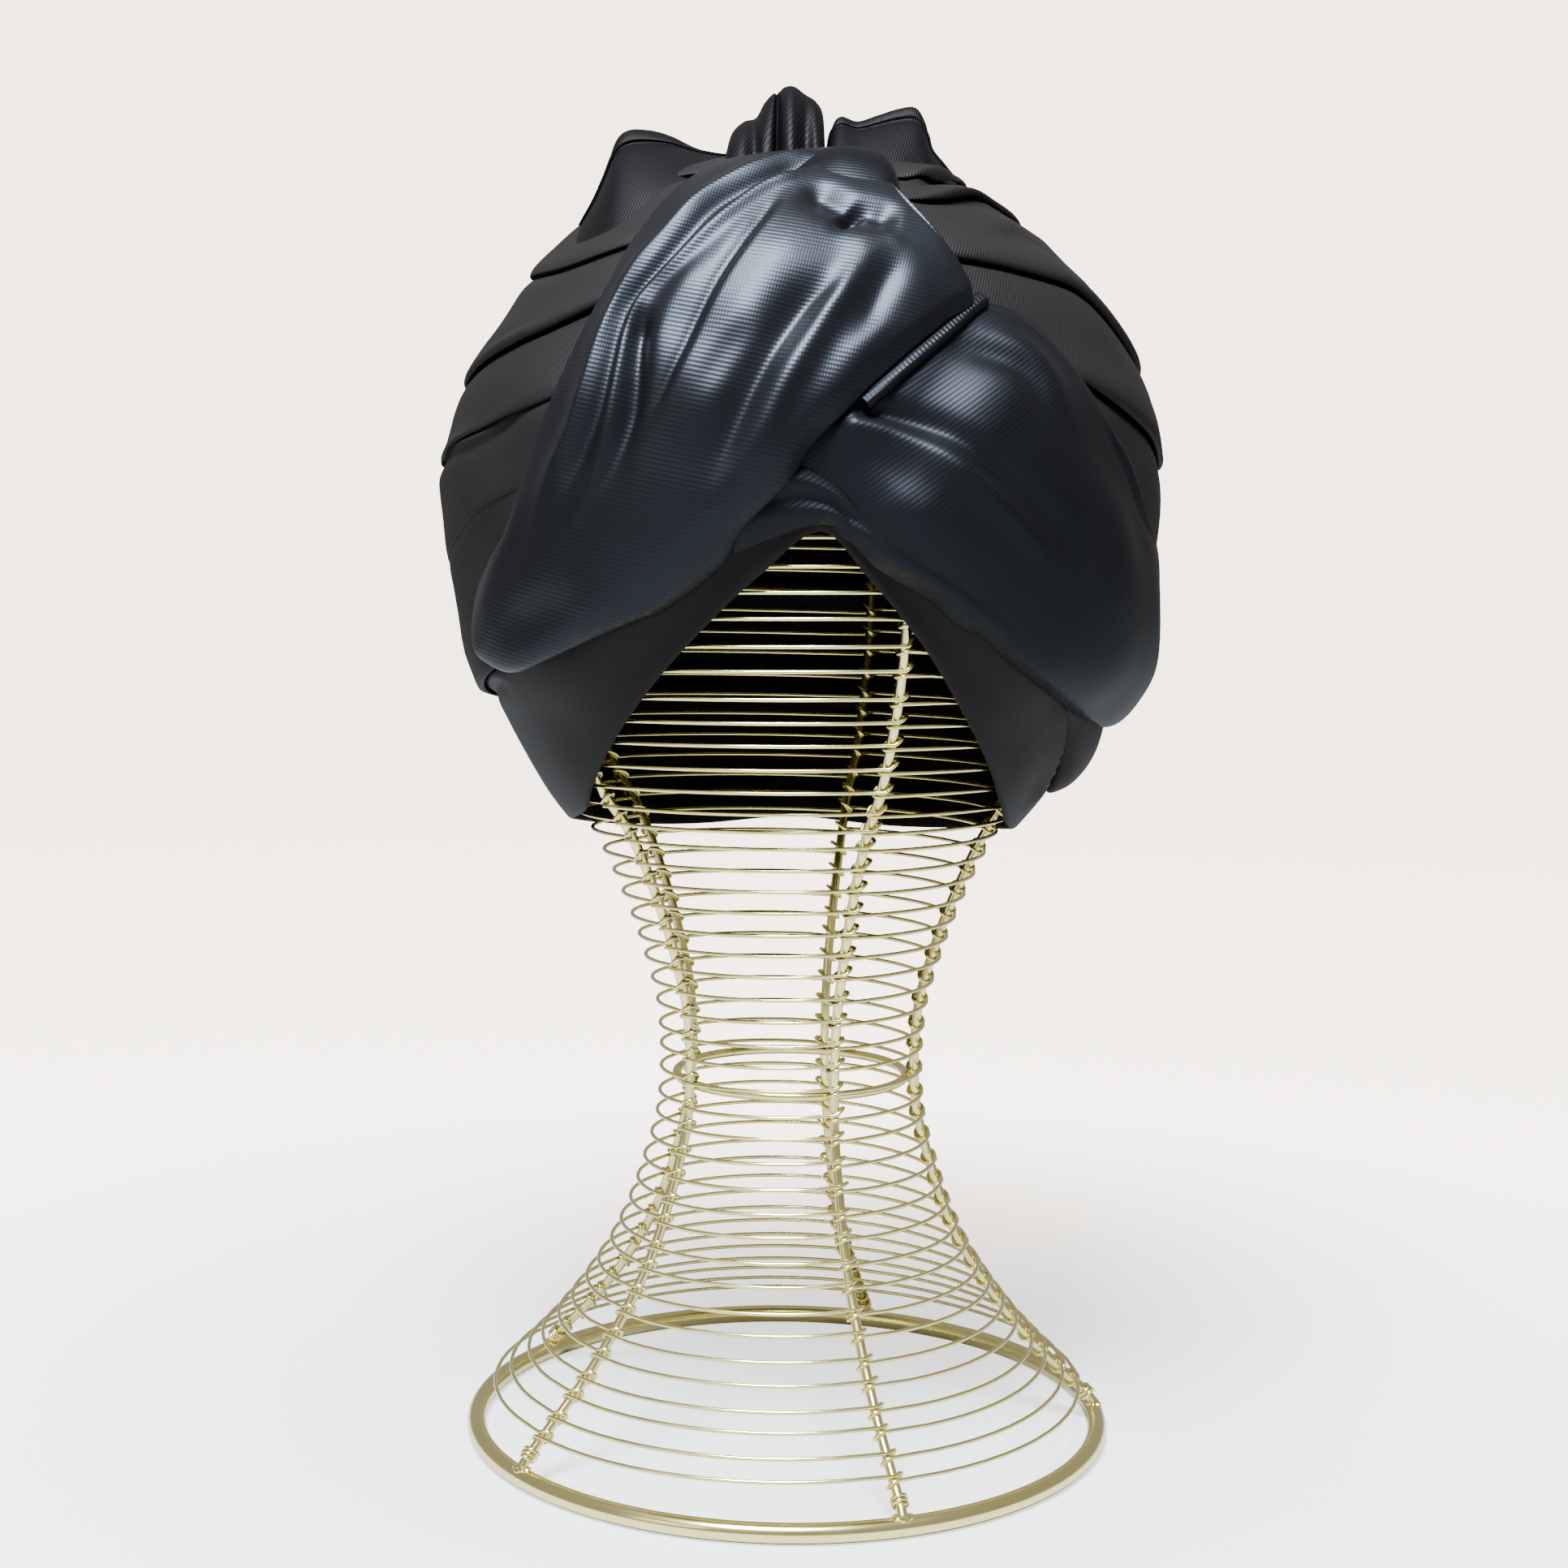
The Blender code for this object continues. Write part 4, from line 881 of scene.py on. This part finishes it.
# %% Knot, hem and side fold
KNOT_SECTIONS = (
    ((-5, 60.5, 2.5), (-5, 59, 4.7), (-5, 56, 5.9), (-5, 53, 5.9),
     (-5, 50.5, 5.0), (-5, 49, 3.4), (-5, 50, 1.7)),
    ((1, 62.5, 3.4), (1, 59.5, 6.9), (2, 57, 8.7), (2, 53.5, 8.9),
     (2, 50.4, 7.7), (2, 48.6, 5.5), (2, 50, 2.5)),
    ((8, 64.5, 3.8), (8, 60.5, 8.1), (8, 57.5, 10.8), (8, 53.5, 11.3),
     (8.5, 49.6, 9.7), (9, 46.6, 6.7), (9, 48.5, 2.9)),
    ((14, 65, 3.4), (14, 60.5, 7.9), (14, 57.5, 10.9), (14, 53, 11.8),
     (14, 48.6, 10.1), (14, 45.2, 6.7), (14, 47, 2.9)),
    ((19, 65, 2.5), (19, 60.5, 6.9), (19.5, 57.5, 9.9), (19, 52.5, 11.1),
     (18, 47.6, 9.4), (17, 44, 6.4), (17, 46, 2.5)),
    ((22.5, 63.5, 0.4), (23, 59.5, 3.9), (22.6, 57, 6.4), (21.4, 51.5, 7.6),
     (19.8, 46.6, 6.4), (18.6, 43.2, 4.2), (18, 45, 0.8)),
    ((23.5, 61.5, -1.5), (24, 60, -0.5), (23.2, 56, 0.4), (22, 51, 0.8),
     (20.4, 46.4, 0.4), (19.4, 43.8, 0.0), (18.6, 45, -1.0)))
HEM_EDGE = ((31.0, 31.4), (28.8, 30.2), (23.4, 26.4), (19.8, 23.8), (16.6, 21.4), (13.2, 18.6),
            (9.0, 15.0))
HEM_PROFILE = ((-1.1, 3.6), (-0.1, 4.8), (0.7, 5.2), (1.4, 4.4), (1.6, 3.0), (0.9, 2.0))
SIDE_FOLD_ROWS = ((54, -28.0, 56, -31.5, 0.05), (59, -28.5, 61, -35.5, 0.35), (65, -29.0, 67, -40, 0.75),
                  (72, -29.5, 74, -44, 1.0), (81, -30.0, 82, -46.5, 1.0), (91, -30.5, 91, -46, 0.9),
                  (101, -30.0, 100, -42, 0.55), (109, -29.0, 108, -37, 0.1))
SIDE_FOLD_PROFILE = ((0.0, 0.3), (0.16, 4.2), (0.38, 6.4), (0.60, 6.8), (0.80, 5.6), (0.94, 3.2),
                     (1.01, 1.2), (1.0, -0.6))
TUCK_SECTIONS = (
    ((-10, 3.0, 3.0), (-10, 0.5, 4.5), (-10, -2.0, 4.0), (-10, -4.5, 3.6),
     (-10, -7.0, 1.6), (-10, -7.4, 0.4)),
    ((-5, 6.0, 3.0), (-5, 3.2, 5.0), (-5, 0.8, 3.8), (-4.5, -1.6, 4.6),
     (-4, -4.4, 2.2), (-4, -4.8, 0.6)),
    ((0, 6.0, 3.0), (0, 3.6, 5.2), (0, 1.6, 3.8), (1, -0.6, 4.8), (2, -2.4, 2.4), (2, -2.8, 0.8)),
    ((5, 3.5, 3.0), (5, 2.0, 5.0), (5, 0.4, 3.6), (5.5, -1.2, 4.4), (6, -3.0, 2.2), (6, -3.4, 0.6)),
    ((10, -1.0, 2.0), (10, -2.0, 3.6), (10, -3.4, 3.0), (10, -5.0, 3.2),
     (10, -7.0, 1.8), (10, -7.4, 0.4)))

knot = grid_cloth("knot", over_cap(soft_net(KNOT_SECTIONS, 120, 60)), KNOT_SATIN, "knot_roll")
edge = np.array(HEM_EDGE)
run = np.gradient(edge, axis=0)
aside = np.stack((run[:, 1], -run[:, 0]), axis=1) / np.linalg.norm(run, axis=1)[:, None]
aside = -aside if aside[0, 0] < 0 else aside
hem_sections = [[(*(place + side * out), height) for out, height in HEM_PROFILE]
                for place, side in zip(edge, aside)]
hem = grid_cloth("sash_hem", over_cap(soft_net(hem_sections, 110, 24)), HEM_SATIN, "folded_hem")
fold_sections = [[(az_a + (az_b - az_a) * across, el_a + (el_b - el_a) * across, height * share)
                  for across, height in SIDE_FOLD_PROFILE]
                 for az_a, el_a, az_b, el_b, share in SIDE_FOLD_ROWS]
side_fold = grid_cloth("side_tuck", over_cap(soft_net(fold_sections, 90, 50)), CAP_SATIN, "side_fold")
tuck = grid_cloth("brow_tuck", over_cap(soft_net(TUCK_SECTIONS, 60, 50)), RIGHT_SATIN, None)
print("OK knot, hem, side fold and brow tuck:",
      [area_of(piece) for piece in (knot, hem, side_fold, tuck)], "m2 of cloth")

# %% [markdown]
# ## Tufts
# Each tuft stands up from the crown as a folded ruffle with a rolled rim. A row holds its place
# across, its height, how far it reaches forward and back, and how far the row is pinched in.

# %% Tufts
TUFT_ROWS = {
    "tuft_left": ((-20, 0.0, -27, -4, 0), (-25, 1.6, -31, -3, 0), (-32, 5.0, -40, 0, 0),
                  (-39, 10.0, -47, 4, 0), (-46, 14.8, -51, 8, 0), (-51.5, 17.6, -52, 9, 0),
                  (-55, 16.6, -51, 9, 0), (-58, 10.0, -49, 8, 0), (-61, 4.5, -47, 6, 0),
                  (-65, 0.0, -43, 2, 0)),
    "tuft_middle": ((-23, 0.0, -33, -10, 2), (-21, 6.8, -36, -9, 0), (-17.5, 9.6, -38, -8, 0),
                    (-14, 10.0, -38, -8, 3), (-11.5, 14.0, -38, -8, 0), (-8.8, 16.4, -38, -8, 1),
                    (-7.6, 15.6, -38, -8, 8), (-6.0, 17.8, -38, -8, 0), (-3, 18.2, -38, -8, -2),
                    (0.5, 15.6, -38, -8, 3), (3.6, 13.8, -37, -8, 0), (5.8, 10.0, -36, -9, 1),
                    (6.5, 0.0, -34, -11, 3)),
    "tuft_right": ((7.5, 0.0, -33, -12, 3), (8.5, 7.0, -35, -9, 0), (11, 10.2, -36, -8, 0),
                   (16, 9.6, -37, -7, 1), (22, 12.6, -37, -6, 0), (28, 15.6, -36, -6, 0),
                   (33, 16.8, -34, -7, 0), (36, 13.0, -33, -8, 0), (37.5, 7.6, -32, -9, 0),
                   (41, 3.6, -31, -11, 0), (45, 0.0, -29, -14, 0))}
TUFT_CREST = -17
# Shares across a tuft: way from the front foot to the crest, or past it to the back, and height
ROLLED = ((0.00, -0.04), (0.20, 0.24), (0.44, 0.50), (0.66, 0.68), (0.84, 0.77), (0.84, 0.86),
          (0.90, 0.96), (1.00, 1.00), (1.25, 0.86), (1.60, 0.45), (2.00, -0.04))
ROUND = ((0.00, -0.04), (0.10, 0.24), (0.25, 0.52), (0.45, 0.76), (0.66, 0.92), (0.86, 0.99),
         (1.00, 1.00), (1.14, 0.95), (1.35, 0.76), (1.65, 0.40), (2.00, -0.04))


def tuft_sections(rows, profile):
    sections = []
    for x, height, front, back, pinch in rows:
        section = []
        for way, share in profile:
            depth = front + (TUFT_CREST - front) * way
            if way > 1.05:
                depth = TUFT_CREST + (back - TUFT_CREST) * (way - 1)
            section.append((x, depth + pinch * (1 - 0.5 * way), height * share - 0.6))
        sections.append(section)
    return sections


for name, rows in TUFT_ROWS.items():
    sections = tuft_sections(rows, ROUND if name == "tuft_middle" else ROLLED)
    grid_cloth(name.replace("tuft", "ruffle"), over_crown(soft_net(sections, 120, 80)),
                            TUFT_SATIN, name)

# %% [markdown]

# %% [markdown]
# ## Floor, light and camera

# %% Stage
def area_light(name, place, target, width, height, power, colour):
    light = bpy.data.lights.new(name, "AREA")
    light.shape = "RECTANGLE"
    light.size = width
    light.size_y = height
    light.energy = power
    light.color = colour
    made = bpy.data.objects.new(name, light)
    bpy.context.collection.objects.link(made)
    made.location = place
    aim = Matrix.Translation(target).translation - Matrix.Translation(place).translation
    made.rotation_euler = aim.to_track_quat("-Z", "Y").to_euler()
    return made


def plain_finish(name, colour, roughness):
    made = bpy.data.materials.new(name)
    made.use_nodes = True
    shader = made.node_tree.nodes["Principled BSDF"]
    shader.inputs["Base Color"].default_value = colour
    shader.inputs["Roughness"].default_value = roughness
    return made


def floor_finish():
    """A pale sheet that is cool near the stand and glows towards the colour of the room far off."""
    made = plain_finish("pale floor", (0.40, 0.40, 0.40, 1), 0.7)
    tree = made.node_tree
    shader = tree.nodes["Principled BSDF"]
    shader.inputs["Specular IOR Level"].default_value = 0.1
    place = node(tree, "ShaderNodeTexCoord", (-900, 0))
    reach = node(tree, "ShaderNodeVectorMath", (-720, 0), operation="LENGTH")
    way = node(tree, "ShaderNodeMapRange", (-540, 0))
    way.inputs["From Min"].default_value = FLOOR_NEAR
    way.inputs["From Max"].default_value = FLOOR_FAR
    blend = node(tree, "ShaderNodeMix", (-360, 0), data_type="RGBA")
    blend.inputs["A"].default_value = FLOOR_GLOW
    blend.inputs["B"].default_value = ROOM_GLOW
    tree.links.new(place.outputs["Object"], reach.inputs[0])
    tree.links.new(reach.outputs["Value"], way.inputs["Value"])
    tree.links.new(way.outputs[0], blend.inputs["Factor"])
    tree.links.new(blend.outputs["Result"], shader.inputs["Emission Color"])
    look = node(tree, "ShaderNodeLightPath", (-360, -240))
    tree.links.new(look.outputs["Is Camera Ray"], shader.inputs["Emission Strength"])
    return made


FLOOR_NEAR = 0.12
FLOOR_FAR = 0.45
FLOOR_GLOW = (1.5, 1.5, 1.5, 1)
ROOM_GLOW = (4.7, 3.9, 3.2, 1)
floor_mesh = bpy.data.meshes.new("floor")
floor_mesh.from_pydata([(-30, -30, 0), (30, -30, 0), (30, 30, 0), (-30, 30, 0)], [], [(0, 1, 2, 3)])
floor_mesh.materials.append(floor_finish())
floor = bpy.data.objects.new("floor", floor_mesh)
bpy.context.collection.objects.link(floor)

world = bpy.data.worlds.new("pale room")
world.use_nodes = True
sky = world.node_tree
seen = sky.nodes["Background"]
seen.inputs["Color"].default_value = (1.0, 0.84, 0.70, 1)
seen.inputs["Strength"].default_value = 5.0
room = sky.nodes.new("ShaderNodeBackground")
room.inputs["Color"].default_value = (1.0, 0.97, 0.94, 1)
room.inputs["Strength"].default_value = 0.42
look = sky.nodes.new("ShaderNodeLightPath")
both = sky.nodes.new("ShaderNodeMixShader")
sky.links.new(look.outputs["Is Camera Ray"], both.inputs[0])
sky.links.new(room.outputs[0], both.inputs[1])
sky.links.new(seen.outputs[0], both.inputs[2])
sky.links.new(both.outputs[0], sky.nodes["World Output"].inputs["Surface"])
bpy.context.scene.world = world
# Place, target, width, height, power and colour
KEY = ((-0.15, -0.65, 1.35), (0, 0, 0.30), 0.55, 0.45, 150, (0.86, 0.93, 1.0))
FILL = ((-0.75, -0.9, 0.55), (0, 0, 0.15), 0.5, 0.5, 1.5, (1.0, 0.96, 0.92))
key = area_light("key", *KEY)
fill = area_light("fill", *FILL)

CAMERA_PLACE = (-0.0033, -0.7250, 0.2652)
CAMERA_DIP = 5.05
CAMERA_ROLL = 0.70
camera = bpy.data.cameras.new("camera")
camera.lens = 54.17
camera.sensor_width = 36
view = bpy.data.objects.new("camera", camera)
bpy.context.collection.objects.link(view)
view.matrix_world = (Matrix.Translation(CAMERA_PLACE)
                     @ Matrix.Rotation(math.radians(90 - CAMERA_DIP), 4, "X")
                     @ Matrix.Rotation(math.radians(CAMERA_ROLL), 4, "Z"))
bpy.context.scene.camera = view
print("OK stage")
